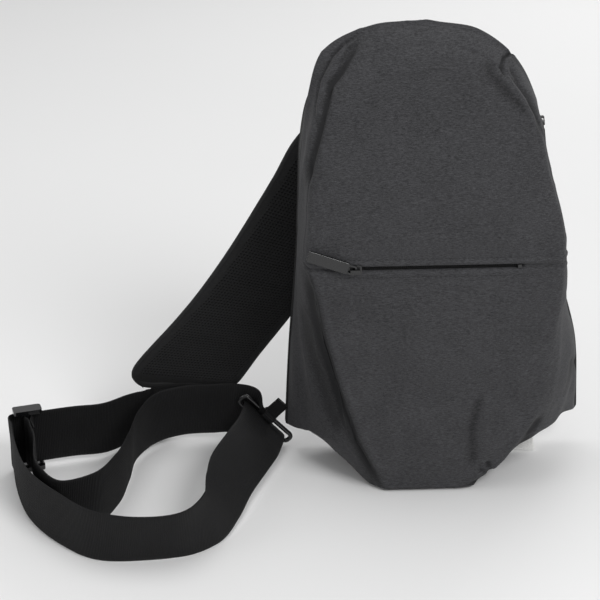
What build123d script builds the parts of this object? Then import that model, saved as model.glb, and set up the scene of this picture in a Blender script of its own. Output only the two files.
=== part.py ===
"""Sling bag standing on its base: sewn body, pocket zip, main zip, padded strap and webbing.

Millimetres, X to the right seen from the front, Y to the back, Z up.  The origin is on
the ground at the centre of the flat base.
"""
import os
from math import cos, pi, radians, sin

from build123d import *

# ---------------------------------------------------------------- driving dimensions
# body, five outlines from the front edge to the back edge
wall = 3.0                       # sewn panel with its foam
waist_height = 208.0             # height of the pocket zip, the widest line of the front
front_waist_y = -48.0
front_top_y = -16.0
front_base_y = -37.0
rear_band_y = 24.0               # where the main zip band starts
back_y = 42.0
rear_band_radius = 95.0
rear_band_centre = 285.0
rear_band_x = -8.0               # the arch stands a little to the left of the base
hip_height = 93.0                # height of the right side's corner above its wing
pad_cut_height = 56.0            # the strap pad ends in a level edge this far above the ground

# back panel
foam_thickness = 11.0
back_cover_thickness = 1.5
back_mesh_thickness = 3.0
back_mesh_margin = 20.0
binding_width = 6.0
binding_thickness = 2.0

# inside
lining_gap = 0.3
lining_thickness = 1.0
divider_depth = 18.0             # pocket space between the lower front panel and its back wall
divider_thickness = 1.2
slip_pocket_thickness = 1.5

# pocket zip
pocket_zip_left = -76.0
pocket_zip_right = 66.0
zip_gap = 2.8                    # coil width
tape_width = 7.0
tape_thickness = 0.9
coil_depth = 2.4
zip_clearance = 0.3
pocket_slider_x = -66.0
slider_length = 11.0
slider_width = 8.0
slider_thickness = 2.2
bridge_height = 3.4
pull_angle = 20.0                # the pull lies this far above the zip line
link_length = 9.0
link_width = 8.0
wire = 1.4
grip_length = 34.0
grip_width = 9.5
grip_thickness = 2.4

# main zip
main_slider_angle = 8.0          # from the right-hand end of the arch
main_coil_margin = 2.0           # degrees left free at each end of the arch

# strap
pad_width = 88.0
pad_neck_width = 46.0
pad_neck_length = 105.0
pad_foam_thickness = 5.0
pad_skin_thickness = 1.2
pad_binding_width = 7.0
pad_binding_thickness = 1.0
pad_length = 384.0
pad_slope = 34.6                 # degrees from upright, leaning to the left going down
pad_end_x = -212.0
pad_end_y = 64.0
pad_top_y = 52.5
pad_end_radius = 9.0
web_turn_radius = 3.0            # inside of the fan fold at the pad's end
root_length = 22.0               # stretch of the strap sewn flat under the top patch
hinge_gap = 0.6

# webbing
webbing_width = 48.0
webbing_thickness = 2.0
adjuster_lift = 5.0              # webbing height above the ground inside the adjuster

# adjuster
adjuster_centre = (-336.0, 16.0)
adjuster_heading = 194.8         # direction of the webbing that runs through it, in degrees
bar_spacing = 10.0
bar_diameter = 3.0
webbing_play = 0.45
rail_height = 3.9

# ring and its tab
ring_centre = (-137.0, 48.0, 22.0)
ring_wire = 4.0
ring_depth = 9.0                 # between the two long wires
ring_inner_length = 52.0
tab_width = 12.0
tab_thickness = 1.5
tab_swing = 1.8                  # slack in the tab's loop that lets the ring tip
tab_root = (-117.6, 44.0, 34.0)

# label
label_width = 32.0
label_length = 26.0
label_thickness = 0.5
label_x = 67.0
label_z = 2.0


# ---------------------------------------------------------------- outlines of the body
class Outline:
    """One closed outline of the body: an arch on two sides, two wings and a flat base."""

    def __init__(self, depths, arch, waist, left_wing, hip, right_wing, base):
        self.waist_y, self.top_y, self.base_y = depths
        self.arch_x, self.radius, self.centre = arch
        self.waist_left, self.waist_right = waist
        self.left_wing = left_wing
        self.hip = hip
        self.right_wing = right_wing
        self.base_left, self.base_right, self.base_z = base

    def depth(self, z):
        """Y of the outline's plane at height z; the plane is folded at the waist."""
        if z >= waist_height:
            share = (z - waist_height) / (self.centre + self.radius - waist_height)
            return self.waist_y + (self.top_y - self.waist_y) * share
        share = (waist_height - z) / waist_height
        return self.waist_y + (self.base_y - self.waist_y) * share

    def point(self, x, z):
        return Vector(x, self.depth(z), z)

    def corners(self, inset):
        """The outline's corner points moved inwards by inset."""
        radius = self.radius - inset
        wing = 1.3 * inset
        return {
            "base_left": self.point(-self.base_left + 0.6 * inset, self.base_z + inset),
            "wing_left": self.point(-self.left_wing[0] + wing, self.left_wing[1] + 0.9 * inset),
            "waist_left": self.point(-self.waist_left + inset, waist_height),
            "arch_left": self.point(self.arch_x - radius, self.centre),
            "arch_top": self.point(self.arch_x, self.centre + radius),
            "arch_right": self.point(self.arch_x + radius, self.centre),
            "waist_right": self.point(self.waist_right - inset, waist_height),
            "hip_right": self.point(self.hip - inset, hip_height),
            "wing_right": self.point(self.right_wing[0] - wing, self.right_wing[1] + 0.9 * inset),
            "base_right": self.point(self.base_right - 0.6 * inset, self.base_z + inset),
        }


def flat(y):
    """Depths of an outline that lies in one upright plane."""
    return (y, y, y)


rear_arch = (rear_band_x, rear_band_radius, rear_band_centre)
outlines = [
    Outline((front_waist_y, front_top_y, front_base_y), (-5, 91, 279), (100, 98),
            (72, 48), 88, (82, 52), (40, 38, 1)),
    Outline((-30, -4, -26), (-7, 97, 284), (106, 105), (84, 43), 105, (94, 48), (50, 46, -0.4)),
    Outline(flat(18), (rear_band_x, 99, 286), (108, 109), (103, 28), 126, (124, 38), (70, 60, -0.4)),
    Outline(flat(rear_band_y), rear_arch, (107, 108), (107, 26), 129, (129, 36), (73, 60, -0.4)),
    Outline(flat(back_y), rear_arch, (105, 108), (115, 22), 132, (137, 31), (80, 62, 1.5)),
]
front, rear_start, back = outlines[0], outlines[3], outlines[4]


def polygon(*points):
    return make_face(Polyline(*points, close=True))


def arch_lines(c):
    return [
        Line(c["waist_left"], c["arch_left"]),
        ThreePointArc(c["arch_left"], c["arch_top"], c["arch_right"]),
        Line(c["arch_right"], c["waist_right"]),
    ]


def arch_face(outline, inset=0.0):
    """Everything above the waist inside one outline."""
    c = outline.corners(inset)
    return make_face(arch_lines(c) + [Line(c["waist_right"], c["waist_left"])])


def lower_face(outline, inset=0.0):
    """Everything below the waist inside one outline."""
    c = outline.corners(inset)
    return polygon(*[c[name] for name in LOWER])


def arch_band(outline, outer, inner):
    """The strip of the upper outline between two insets."""
    a = outline.corners(outer)
    b = outline.corners(inner)
    ends = [Line(a["waist_left"], b["waist_left"]), Line(a["waist_right"], b["waist_right"])]
    return make_face(arch_lines(a) + arch_lines(b) + ends)


def strip(outline, outer, inner, *names):
    """The strip of the lower outline along the named corners."""
    a = outline.corners(outer)
    b = outline.corners(inner)
    return polygon(*[a[name] for name in names], *[b[name] for name in reversed(names)])


def along_y(faces):
    return loft(faces, ruled=True)


# ---------------------------------------------------------------- body panels
LEFT_SIDE = ("waist_left", "wing_left")
RIGHT_SIDE = ("waist_right", "hip_right", "wing_right")
UNDERSIDE = ("wing_left", "base_left", "base_right", "wing_right")
LOWER = LEFT_SIDE + UNDERSIDE[1:3] + tuple(reversed(RIGHT_SIDE))


def pocket_slot():
    """Opening of the pocket zip through both front panels."""
    height = zip_gap + 2 * zip_clearance
    slot = Box(pocket_zip_length(), 6 * wall, height)
    return Pos(pocket_zip_middle(), front_waist_y - wall, waist_height) * slot


def pocket_zip_length():
    return pocket_zip_right - pocket_zip_left


def pocket_zip_middle():
    return (pocket_zip_right + pocket_zip_left) / 2


def front_panel_upper():
    return extrude(arch_face(front), amount=wall, dir=(0, -1, 0)) - pocket_slot()


def front_panel_lower():
    return extrude(lower_face(front), amount=wall, dir=(0, -1, 0)) - pocket_slot()


def front_gusset():
    return along_y([arch_band(o, 0, wall) for o in outlines[:4]])


def side_panel(names):
    return along_y([strip(o, 0, wall, *names) for o in outlines])


def bottom_panel():
    """Underside of the body, cut level with the ground."""
    panel = along_y([strip(o, 0, wall, *UNDERSIDE) for o in outlines])
    return panel - Pos(0, 0, -5) * Box(400, 200, 10)


def lining():
    outer = wall + lining_gap
    inner = outer + lining_thickness
    upper = along_y([arch_band(o, outer, inner) for o in outlines[:3]])
    lower = along_y([strip(o, outer, inner, *LOWER) for o in outlines[:3]])
    return upper + lower


def whole_outline(outline, inset, y):
    """The full outline as one flat face in the plane at y."""
    c = {name: Vector(p.X, y, p.Z) for name, p in outline.corners(inset).items()}
    return make_face(arch_lines(c) + [Polyline(*[c[name] for name in LOWER])])


def mixed(a, b, share):
    """Outline part of the way from a to b."""
    def mix(p, q):
        if isinstance(p, tuple):
            return tuple(mix(i, j) for i, j in zip(p, q))
        return p + (q - p) * share

    def parts(o):
        return [(o.waist_y, o.top_y, o.base_y), (o.arch_x, o.radius, o.centre), (o.waist_left, o.waist_right),
                o.left_wing, o.hip, o.right_wing, (o.base_left, o.base_right, o.base_z)]

    return Outline(*[mix(p, q) for p, q in zip(parts(a), parts(b))])


def back_foam():
    """Foam sheet that fills the last of the body's depth inside the panels."""
    start = mixed(rear_start, back, 1 - foam_thickness / (back_y - rear_band_y))
    inset = wall + lining_gap
    return along_y([whole_outline(o, inset, o.waist_y) for o in (start, back)])


def back_cover():
    face = whole_outline(back, 0, back_y)
    return extrude(face, amount=back_cover_thickness, dir=(0, 1, 0))


def back_mesh_pad():
    """Air-mesh pad on the back cover, below the strap's top patch."""
    face = whole_outline(back, back_mesh_margin, back_y + back_cover_thickness)
    pad = extrude(face, amount=back_mesh_thickness, dir=(0, 1, 0))
    top = patch_bottom() - 4
    return pad & Pos(0, back_y, top / 2) * Box(400, 60, top)


def back_binding():
    """Binding tape round the edge of the back cover."""
    y = back_y + back_cover_thickness
    ring = whole_outline(back, 0, y) - whole_outline(back, binding_width, y)
    return extrude(ring, amount=binding_thickness, dir=(0, 1, 0))


def pocket_divider():
    """Back wall of the front pocket, sewn to the lining, parallel to the lower front panel."""
    c = outlines[1].corners(wall + lining_gap + lining_thickness + 1)
    shift = Vector(0, front_waist_y + divider_depth - outlines[1].waist_y, 0)
    face = polygon(*[c[name] + shift for name in LOWER])
    return extrude(face, amount=divider_thickness, dir=(0, 1, 0))


def slip_pocket():
    """Flat pocket sewn to the inside of the back panel."""
    y = back_y - foam_thickness - slip_pocket_thickness
    width = 1.5 * rear_band_radius
    height = 0.75 * waist_height
    return Pos(0, y + slip_pocket_thickness / 2, 0.3 * waist_height + height / 2) * Box(
        width, slip_pocket_thickness, height)


# ---------------------------------------------------------------- zips
def pocket_tape(side):
    """Tape behind the edge of one front panel; side is +1 above the coil, -1 below it."""
    offset = side * (zip_gap / 2 + zip_clearance + tape_width / 2)
    y = tape_front_y() + tape_thickness / 2
    tape = Box(pocket_zip_length() + 8, tape_thickness, tape_width)
    return Pos(pocket_zip_middle(), y, waist_height + offset) * tape


def tape_front_y():
    """Depth that clears the back of both front panels over the tapes' width."""
    reach = zip_gap / 2 + zip_clearance + tape_width
    depths = [front.depth(waist_height + reach), front.depth(waist_height - reach)]
    return max(depths) + zip_clearance


def panel_front_y():
    return front_waist_y - wall


def pocket_coil():
    """Closed coil, from the tapes to the front of the panels."""
    depth = tape_front_y() - panel_front_y()
    y = panel_front_y() + depth / 2
    return Pos(pocket_zip_middle(), y, waist_height) * Box(pocket_zip_length() - 2, depth, zip_gap)


def pocket_stops():
    """A small metal stop over each end of the coil."""
    stop = Box(3, 1.2, zip_gap)
    y = panel_front_y() - 0.6
    ends = (pocket_zip_left + 2, pocket_zip_right - 2)
    return Compound([Pos(x, y, waist_height) * stop for x in ends])


def slider_body():
    """Zip slider lying on the XY plane, running along X, its bridge on top."""
    plate = extrude(RectangleRounded(slider_length, slider_width, 2.4), amount=slider_thickness)
    bridge = Pos(0, 0, slider_thickness + bridge_height / 2) * Box(0.72 * slider_length, 2.4, bridge_height)
    tunnel_height = 2 * (pull_height() - slider_thickness)
    tunnel = Pos(0, 0, pull_height()) * Box(0.4 * slider_length, 3, tunnel_height)
    return plate + fillet(bridge.edges().filter_by(Axis.Y), 0.8) - tunnel


def pull_link():
    """Wire loop through the slider's bridge; it lies along -X from the bridge."""
    outer = RectangleRounded(link_length, link_width, 1.8)
    inner = RectangleRounded(link_length - 2 * wire, link_width - 2 * wire, 0.8)
    return Pos((wire - link_length) / 2, 0, -wire / 2) * extrude(outer - inner, amount=wire)


def pull_grip():
    """Flat grip moulded over the link's far end."""
    start = link_length - 2.5 * wire
    body = extrude(RectangleRounded(grip_length, grip_width, 1.2), amount=grip_thickness)
    body = fillet(body.edges().group_by(Axis.Z)[-1], 0.6)
    body = Pos(-start - grip_length / 2, 0, -grip_thickness / 2) * body
    return body - pull_link()


def on_pocket(shape, height):
    """Turns a slider or pull made on XY to face the front at the pocket slider's place."""
    y = panel_front_y() - zip_clearance
    return Pos(pocket_slider_x, y - height, waist_height) * Rot(90, 0, 0) * shape


def pull_height():
    """Height of the pull's wire above the slider's underside."""
    return slider_thickness + grip_thickness / 2 + 0.15


def pocket_pull(shape):
    return on_pocket(Rot(0, 0, -pull_angle) * shape, pull_height())


def zip_plane():
    """Mid plane of the main zip band."""
    return (rear_band_y + back_y) / 2


def main_tape(side):
    """Half of the main zip band; side is -1 in front of the coil, +1 behind it."""
    width = (back_y - rear_band_y - zip_gap) / 2 - 0.1
    start = rear_band_y if side < 0 else back_y - width
    face = arch_band(rear_start, 0, tape_thickness + wall / 2)
    return Pos(0, start - rear_band_y, 0) * extrude(face, amount=width, dir=(0, 1, 0))


def arch_ring(inner, outer, y0, y1, first, last):
    """Part of a ring about the arch's centre, from one angle to another."""
    ring = Circle(outer) - Circle(inner)
    reach = 2 * outer
    wedge_angles = [first + (last - first) * i / 6 for i in range(7)]
    rim = [(reach * cos(radians(a)), reach * sin(radians(a))) for a in wedge_angles]
    sector = ring & make_face(Polyline((0, 0), *rim, close=True))
    turned = Rot(90, 0, 0) * extrude(sector, amount=y0 - y1)
    return Pos(rear_band_x, y0, rear_band_centre) * turned


def main_coil():
    inner = rear_band_radius - coil_depth / 2
    y = zip_plane()
    return arch_ring(inner, inner + coil_depth, y - zip_gap / 2, y + zip_gap / 2,
                     main_coil_margin, 180 - main_coil_margin)


def on_main_zip(shape, height):
    """Turns a shape made on XY, running along X, onto the arch at the main slider's place."""
    reach = rear_band_radius + coil_depth / 2 + zip_clearance + height
    tilt = Rot(0, -main_slider_angle, 0)
    middle = Pos(rear_band_x, zip_plane(), rear_band_centre)
    return middle * tilt * Pos(reach, 0, 0) * Rot(0, 90, 0) * shape


def main_pull(shape):
    return on_main_zip(Rot(0, 0, 180) * shape, pull_height())


# ---------------------------------------------------------------- padded strap
half_web = webbing_width / 2


def pad_down():
    """Unit vector down the strap in the XZ plane."""
    return Vector(-sin(radians(pad_slope)), 0, -cos(radians(pad_slope)))


def pad_aside():
    """Unit vector across the strap, towards its upper left edge."""
    down = pad_down()
    return Vector(down.Z, 0, -down.X)


def turn_pivot():
    """Centre of the fan fold that lays the webbing level, its lower edge on the ground."""
    end = pad_aside() * (half_web + web_turn_radius) + pad_down()
    return Vector(pad_end_x + end.X, pad_end_y, webbing_width + web_turn_radius)


def pad_end():
    back_to_centre = pad_aside() * (half_web + web_turn_radius) + pad_down()
    return turn_pivot() - back_to_centre


def pad_top():
    top = pad_end() - pad_down() * pad_length
    return Vector(top.X, pad_top_y, top.Z)


def pad_frame():
    """Plane of the strap pad: local X down the strap, local Z towards the back."""
    run = (pad_end() - pad_top()).normalized()
    across = Vector(0, 1, 0).cross(run).normalized()
    return Plane(origin=pad_top(), x_dir=run, z_dir=across.cross(run))


def level_end(across_by, inset):
    """Distance down the pad to its level lower edge, at a place across it."""
    frame = pad_frame()
    drop = pad_top().Z - pad_cut_height - inset
    return (drop + across_by * frame.y_dir.Z) / -frame.x_dir.Z


def pad_outline(start, inset):
    """Flat outline of the pad: a neck that widens, straight sides and a level lower edge."""
    neck = pad_neck_width / 2 - inset
    half = pad_width / 2 - inset
    grow = neck + (half - neck) * start / pad_neck_length
    shoulder = pad_neck_length
    ends = [(level_end(side * half, inset), side * half) for side in (-1, 1)]
    points = [(start, -grow), (shoulder, -half), *ends, (shoulder, half), (start, grow)]
    face = make_face(Polyline(*points, close=True))
    rounded = [v for v in face.vertices() if v.X > pad_length / 2]
    return fillet(rounded, pad_end_radius)


def pad_layer(low, high, start, inset=0.0):
    sheet = extrude(pad_outline(start, inset), amount=high - low)
    return pad_frame() * Pos(0, 0, low) * sheet


def pad_half():
    return pad_foam_thickness / 2


def strap_start():
    return root_length + hinge_gap


def strap_foam():
    return pad_layer(-pad_half(), pad_half(), strap_start(), pad_binding_width / 3)


def strap_mesh():
    return pad_layer(-pad_half() - pad_skin_thickness, -pad_half(), strap_start())


def strap_fabric():
    return pad_layer(pad_half(), pad_half() + pad_skin_thickness, strap_start())


def strap_binding():
    """Binding folded round the pad's long edges and its lower end."""
    low = -pad_half() - pad_skin_thickness - pad_binding_thickness
    high = -low
    start = strap_start()
    outer = pad_layer(low, high, start, -pad_binding_thickness)
    core = pad_layer(low + pad_binding_thickness, high - pad_binding_thickness, start - 5)
    window = pad_layer(low - 1, high + 1, start - 5, pad_binding_width)
    return outer - core - window


def strap_root():
    """Top of the strap, thinned and sewn flat to the back cover."""
    points = [(0, -pad_neck_width / 2), (root_length, -pad_neck_width / 2),
              (root_length, pad_neck_width / 2), (0, pad_neck_width / 2)]
    flat = make_face(Polyline(*points, close=True))
    frame = pad_frame()
    sheet = frame * extrude(flat, amount=2 * pad_half(), both=True)
    floor_y = back_y + back_cover_thickness + binding_thickness
    keep = Pos(0, floor_y + 20.2, 340) * Box(400, 40, 200)
    return sheet & keep


def patch_bottom():
    return pad_top().Z - root_length - 14


def top_patch():
    """Reinforcing patch between the back cover and the strap's root."""
    height = 40.0
    width = pad_neck_width + 22
    z = patch_bottom() + height / 2
    y = back_y + back_cover_thickness + binding_thickness / 2
    return Pos(pad_top().X - 8, y, z) * Box(width, binding_thickness, height)


# ---------------------------------------------------------------- webbing
def smooth(stations, steps):
    """Stations (x, y, z, lean_x, lean_y) joined by a smooth curve, with steps per span."""
    first = [2 * a - b for a, b in zip(stations[0], stations[1])]
    last = [2 * a - b for a, b in zip(stations[-1], stations[-2])]
    line = [first, *stations, last]
    result = []
    for p0, p1, p2, p3 in zip(line, line[1:], line[2:], line[3:]):
        for i in range(steps):
            t = i / steps
            result.append(tuple(
                0.5 * (2 * b + (c - a) * t + (2 * a - 5 * b + 4 * c - d) * t**2
                       + (3 * b - a - 3 * c + d) * t**3)
                for a, b, c, d in zip(p0, p1, p2, p3)))
    result.append(tuple(stations[-1]))
    return result


def ribbon(stations, steps=3, first_ahead=None, last_ahead=None):
    """Webbing through the stations; lean tips its upper edge away from upright.

    first_ahead and last_ahead set the direction in which its ends are cut square.
    """
    line = smooth(stations, steps)
    points = [Vector(*s[:3]) for s in line]
    faces = []
    for i, station in enumerate(line):
        ahead = points[min(i + 1, len(points) - 1)] - points[max(i - 1, 0)]
        if i == 0 and first_ahead:
            ahead = first_ahead
        if i == len(line) - 1 and last_ahead:
            ahead = last_ahead
        ahead = ahead.normalized()
        up = Vector(station[3], station[4], 1)
        up = (up - ahead * up.dot(ahead)).normalized()
        side = ahead.cross(up) * (webbing_thickness / 2)
        up = up * (webbing_width / 2)
        p = points[i]
        faces.append(polygon(p - up - side, p + up - side, p + up + side, p - up + side))
    return loft(faces, ruled=True)


in_adjuster = half_web + adjuster_lift


def adjuster_axes():
    """Unit vectors along the webbing through the adjuster and towards its back."""
    turn = radians(adjuster_heading)
    along = Vector(cos(turn), sin(turn), 0)
    return along, Vector(along.Y, -along.X, 0)


def by_adjuster(along_by, back_by, z):
    along, behind = adjuster_axes()
    p = Vector(adjuster_centre[0], adjuster_centre[1], z) + along * along_by + behind * back_by
    return (p.X, p.Y, p.Z, 0, 0)


def webbing_turn():
    """From the pad's level edge, down its slope, to the fan fold that lays the webbing level."""
    pivot = turn_pivot()
    sweep_angle = pad_aside().get_angle(Vector(0, 0, 1))
    t = Vector(0, webbing_thickness / 2, 0)
    steps = 4
    run = pad_frame().x_dir
    edges = []
    for side in (1, -1):
        edge = pad_end() + pad_aside() * (side * half_web)
        level = pad_cut_height - pad_binding_thickness - 0.3
        edges.append(edge + run * ((level - edge.Z) / run.Z))
    faces = [polygon(edges[0] - t, edges[1] - t, edges[1] + t, edges[0] + t)]
    for i in range(steps + 1):
        a = radians(sweep_angle * (1 - i / steps))
        out = Vector(sin(a), 0, -cos(a))
        near = pivot + out * web_turn_radius
        far = pivot + out * (web_turn_radius + webbing_width)
        faces.append(polygon(near - t, far - t, far + t, near + t))
    return loft(faces, ruled=True)


def webbing_pad_end():
    """From the pad's end, through the adjuster, straight along the adjuster's path."""
    pivot = turn_pivot()
    along = adjuster_axes()[0]
    return webbing_turn() + ribbon([
        (pivot.X, pivot.Y, half_web, 0, 0),
        (pivot.X - 14, pivot.Y - 8, half_web + 0.4, 0, 0),
        by_adjuster(-62, 0, in_adjuster),
        by_adjuster(-40, 0, in_adjuster),
        by_adjuster(-20, 0, in_adjuster),
        by_adjuster(0, 0, in_adjuster),
        by_adjuster(14, 0, in_adjuster),
    ], 2, first_ahead=Vector(-1, 0, 0), last_ahead=along)


def ring_axes():
    """Unit vectors along the ring's long wires, across the ring, and through it."""
    long_axis = Vector(-0.72, 0.1, 0.69).normalized()
    through = Vector(0.28, 0.96, 0)
    through = (through - long_axis * through.dot(long_axis)).normalized()
    across = through.cross(long_axis).normalized()
    return long_axis, across, through


def webbing_outer_run():
    """From the adjuster round the front to the ring."""
    long_axis, across, through = ring_axes()
    lean_x = long_axis.X / long_axis.Z
    lean_y = long_axis.Y / long_axis.Z
    wrap = ring_wire / 2 + webbing_play + webbing_thickness / 2
    end = Vector(*ring_centre) + across * wrap
    before = end - through * 24
    start = by_adjuster(14, 0, in_adjuster)
    return ribbon([
        start,
        (-348, 2, 27, 0, 0),
        (-342, -30, 24.6, 0, 0),
        (-328, -72, half_web, 0, 0),
        (-303, -108, half_web, 0, 0),
        (-272, -136, half_web, 0, -0.12),
        (-236, -142, 23.6, 0, -0.25),
        (-204, -136, 23.6, -0.05, -0.25),
        (-183, -114, 23.8, -0.3, -0.15),
        (-173, -80, 23.4, -0.65, 0),
        (-165, -44, 22.6, -0.95, 0),
        (-151, -6, 22.3, -1.05, 0.1),
        (before.X, before.Y, before.Z, lean_x, lean_y),
        (end.X, end.Y, end.Z, lean_x, lean_y),
    ], first_ahead=adjuster_axes()[0], last_ahead=through)


def webbing_ring_loop():
    """Quarter wrap of the webbing round the ring's near wire."""
    long_axis, across, through = ring_axes()
    inner = ring_wire / 2 + webbing_play
    outer = inner + webbing_thickness
    faces = []
    for i in range(7):
        a = pi / 2 * i / 6
        out = across * cos(a) + through * sin(a)
        low = Vector(*ring_centre) - long_axis * half_web
        high = Vector(*ring_centre) + long_axis * half_web
        faces.append(polygon(low + out * inner, high + out * inner, high + out * outer, low + out * outer))
    return loft(faces, ruled=True)


def webbing_inner_run():
    """From the ring back round the inside to the adjuster's sewn end."""
    long_axis, across, through = ring_axes()
    lean_x = long_axis.X / long_axis.Z
    lean_y = long_axis.Y / long_axis.Z
    wrap = ring_wire / 2 + webbing_play + webbing_thickness / 2
    start = Vector(*ring_centre) + through * wrap
    end = by_adjuster(0, -33, in_adjuster)
    return ribbon([
        (start.X, start.Y, start.Z, lean_x, lean_y),
        (-147, 54.5, 25, -0.9, 0.12),
        (-161, 56, 29, -0.5, 0.03),
        (-181, 57, 31, -0.15, 0),
        (-204, 55, 31, 0, 0),
        (-227, 46, 29.5, 0, 0),
        (-243, 22, 27, 0.08, 0),
        (-250, -14, 25.5, 0.05, 0),
        (-259, -52, half_web + 1, 0, 0),
        (-277, -83, half_web + 1, 0, 0),
        (-301, -91, half_web + 1, 0, -0.05),
        (-320, -68, 26, 0, 0),
        end,
    ], first_ahead=across * -1)


def centre_bar_offset():
    """How far the adjuster's centre bar lies in front of the webbing through it."""
    loop = webbing_play + bar_diameter / 2 + webbing_thickness
    return webbing_thickness / 2 + webbing_play + loop


def in_adjuster_frame(shape):
    """Local X back along the webbing to the pad, local Y to the adjuster's back, local Z up."""
    along = adjuster_axes()[0]
    plane = Plane(origin=(*adjuster_centre, 0), x_dir=along * -1, z_dir=(0, 0, 1))
    return plane * shape


def adjuster():
    """Three upright bars between two end rails; the centre bar stands forward."""
    height = 2 * rail_height + webbing_width + 2 * 0.8 + 0.4
    outer_y = webbing_thickness / 2 + webbing_play + bar_diameter / 2
    centre_y = centre_bar_offset()
    bar = Cylinder(bar_diameter / 2, height - 1, align=(Align.CENTER, Align.CENTER, Align.MIN))
    pieces = [Pos(x, outer_y, 0.5) * bar for x in (-bar_spacing, bar_spacing)]
    pieces.append(Pos(0, -centre_y, 0.5) * bar)
    depth = outer_y + centre_y + bar_diameter
    rail = Box(2 * bar_spacing + bar_diameter + 1, depth, rail_height,
               align=(Align.CENTER, Align.CENTER, Align.MIN))
    rail = fillet(rail.edges().filter_by(Axis.Z), 2.5)
    middle = (outer_y - centre_y) / 2
    rails = [Pos(0, middle, 0) * rail, Pos(0, middle, height - rail_height) * rail]
    return in_adjuster_frame(pieces[0] + pieces[1] + pieces[2] + rails[0] + rails[1])


def webbing_end_loop():
    """End of the webbing folded round the centre bar and sewn to itself."""
    inner = bar_diameter / 2 + webbing_play
    outer = inner + webbing_thickness
    centre_y = centre_bar_offset()
    ring = Circle(outer) - Circle(inner)
    tail_length = 28.5 - centre_y
    tail = Pos(0, -inner - webbing_thickness / 2 - tail_length / 2) * Rectangle(
        2 * webbing_thickness, tail_length)
    profile = ring + tail - Circle(inner)
    sheet = extrude(profile, amount=webbing_width)
    return in_adjuster_frame(Pos(0, -centre_y, adjuster_lift) * sheet)


# ---------------------------------------------------------------- ring and tab
def ring_plane():
    long_axis, across, through = ring_axes()
    return Plane(origin=ring_centre, x_dir=long_axis, z_dir=long_axis.cross(across))


def strap_ring():
    """Oblong wire ring; its near wire carries the webbing, its far wire the tab."""
    length = ring_inner_length + ring_wire
    path = Pos(0, ring_depth / 2) * RectangleRounded(length, ring_depth, 3.5)
    wire_path = path.wire()
    start = wire_path @ 0
    section = Plane(origin=start, z_dir=wire_path % 0) * Circle(ring_wire / 2)
    return ring_plane() * sweep(section, path=wire_path)


def anchor_tab():
    """Narrow tape looped through the ring's far wire and sewn to the left wing."""
    long_axis, across, through = ring_axes()
    far = Vector(*ring_centre) + across * ring_depth
    inner = ring_wire / 2 + webbing_play
    outer = inner + tab_thickness
    to_root = Vector(*tab_root) - far
    along = (to_root - long_axis * to_root.dot(long_axis)).normalized()
    plane = Plane(origin=far - long_axis * (tab_width / 2), x_dir=along, z_dir=long_axis)
    reach = to_root.dot(along)
    tail = Pos(inner + (reach - inner) / 2) * Rectangle(reach - inner, 2 * tab_thickness)
    hole = Rectangle(2 * inner, 2 * tab_swing) + Pos(0, tab_swing) * Circle(inner)
    hole = hole + Pos(0, -tab_swing) * Circle(inner)
    around = Rectangle(2 * outer, 2 * tab_swing) + Pos(0, tab_swing) * Circle(outer)
    around = around + Pos(0, -tab_swing) * Circle(outer)
    return plane * extrude(around + tail - hole, amount=tab_width)


def care_label():
    y = back_y + back_cover_thickness + binding_thickness + label_thickness / 2
    place = Pos(label_x + label_width / 2, y, label_z + label_length / 2)
    return place * Box(label_width, label_thickness, label_length)


def export(name, shape):
    export_step(shape, f"parts/{name}.step")
    print(name, round(shape.volume, 1))


def main():
    os.makedirs("parts", exist_ok=True)
    export("front_panel_upper", front_panel_upper())
    export("front_panel_lower", front_panel_lower())
    export("front_gusset", front_gusset())
    export("side_panel_left", side_panel(LEFT_SIDE))
    export("side_panel_right", side_panel(RIGHT_SIDE))
    export("bottom_panel", bottom_panel())
    export("main_lining", lining())
    export("pocket_divider", pocket_divider())
    export("slip_pocket", slip_pocket())
    export("back_foam", back_foam())
    export("back_cover", back_cover())
    export("back_mesh_pad", back_mesh_pad())
    export("back_binding", back_binding())
    export("pocket_zip_tape_upper", pocket_tape(1))
    export("pocket_zip_tape_lower", pocket_tape(-1))
    export("pocket_zip_coil", pocket_coil())
    export("pocket_zip_stops", pocket_stops())
    export("pocket_zip_slider", on_pocket(slider_body(), 0))
    export("pocket_pull_link", pocket_pull(pull_link()))
    export("pocket_pull_grip", pocket_pull(pull_grip()))
    export("main_zip_tape_front", main_tape(-1))
    export("main_zip_tape_back", main_tape(1))
    export("main_zip_coil", main_coil())
    export("main_zip_slider", on_main_zip(slider_body(), 0))
    export("main_pull_link", main_pull(pull_link()))
    export("main_pull_grip", main_pull(pull_grip()))
    export("top_patch", top_patch())
    export("strap_root", strap_root())
    export("strap_foam", strap_foam())
    export("strap_mesh", strap_mesh())
    export("strap_fabric", strap_fabric())
    export("strap_binding", strap_binding())
    export("webbing_pad_end", webbing_pad_end())
    export("webbing_outer_run", webbing_outer_run())
    export("webbing_ring_loop", webbing_ring_loop())
    export("webbing_inner_run", webbing_inner_run())
    export("webbing_end_loop", webbing_end_loop())
    export("adjuster", adjuster())
    export("strap_ring", strap_ring())
    export("anchor_tab", anchor_tab())
    export("care_label", care_label())


main()
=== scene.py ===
import math

import bmesh
import bpy
import numpy as np
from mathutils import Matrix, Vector
from mathutils.kdtree import KDTree


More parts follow.
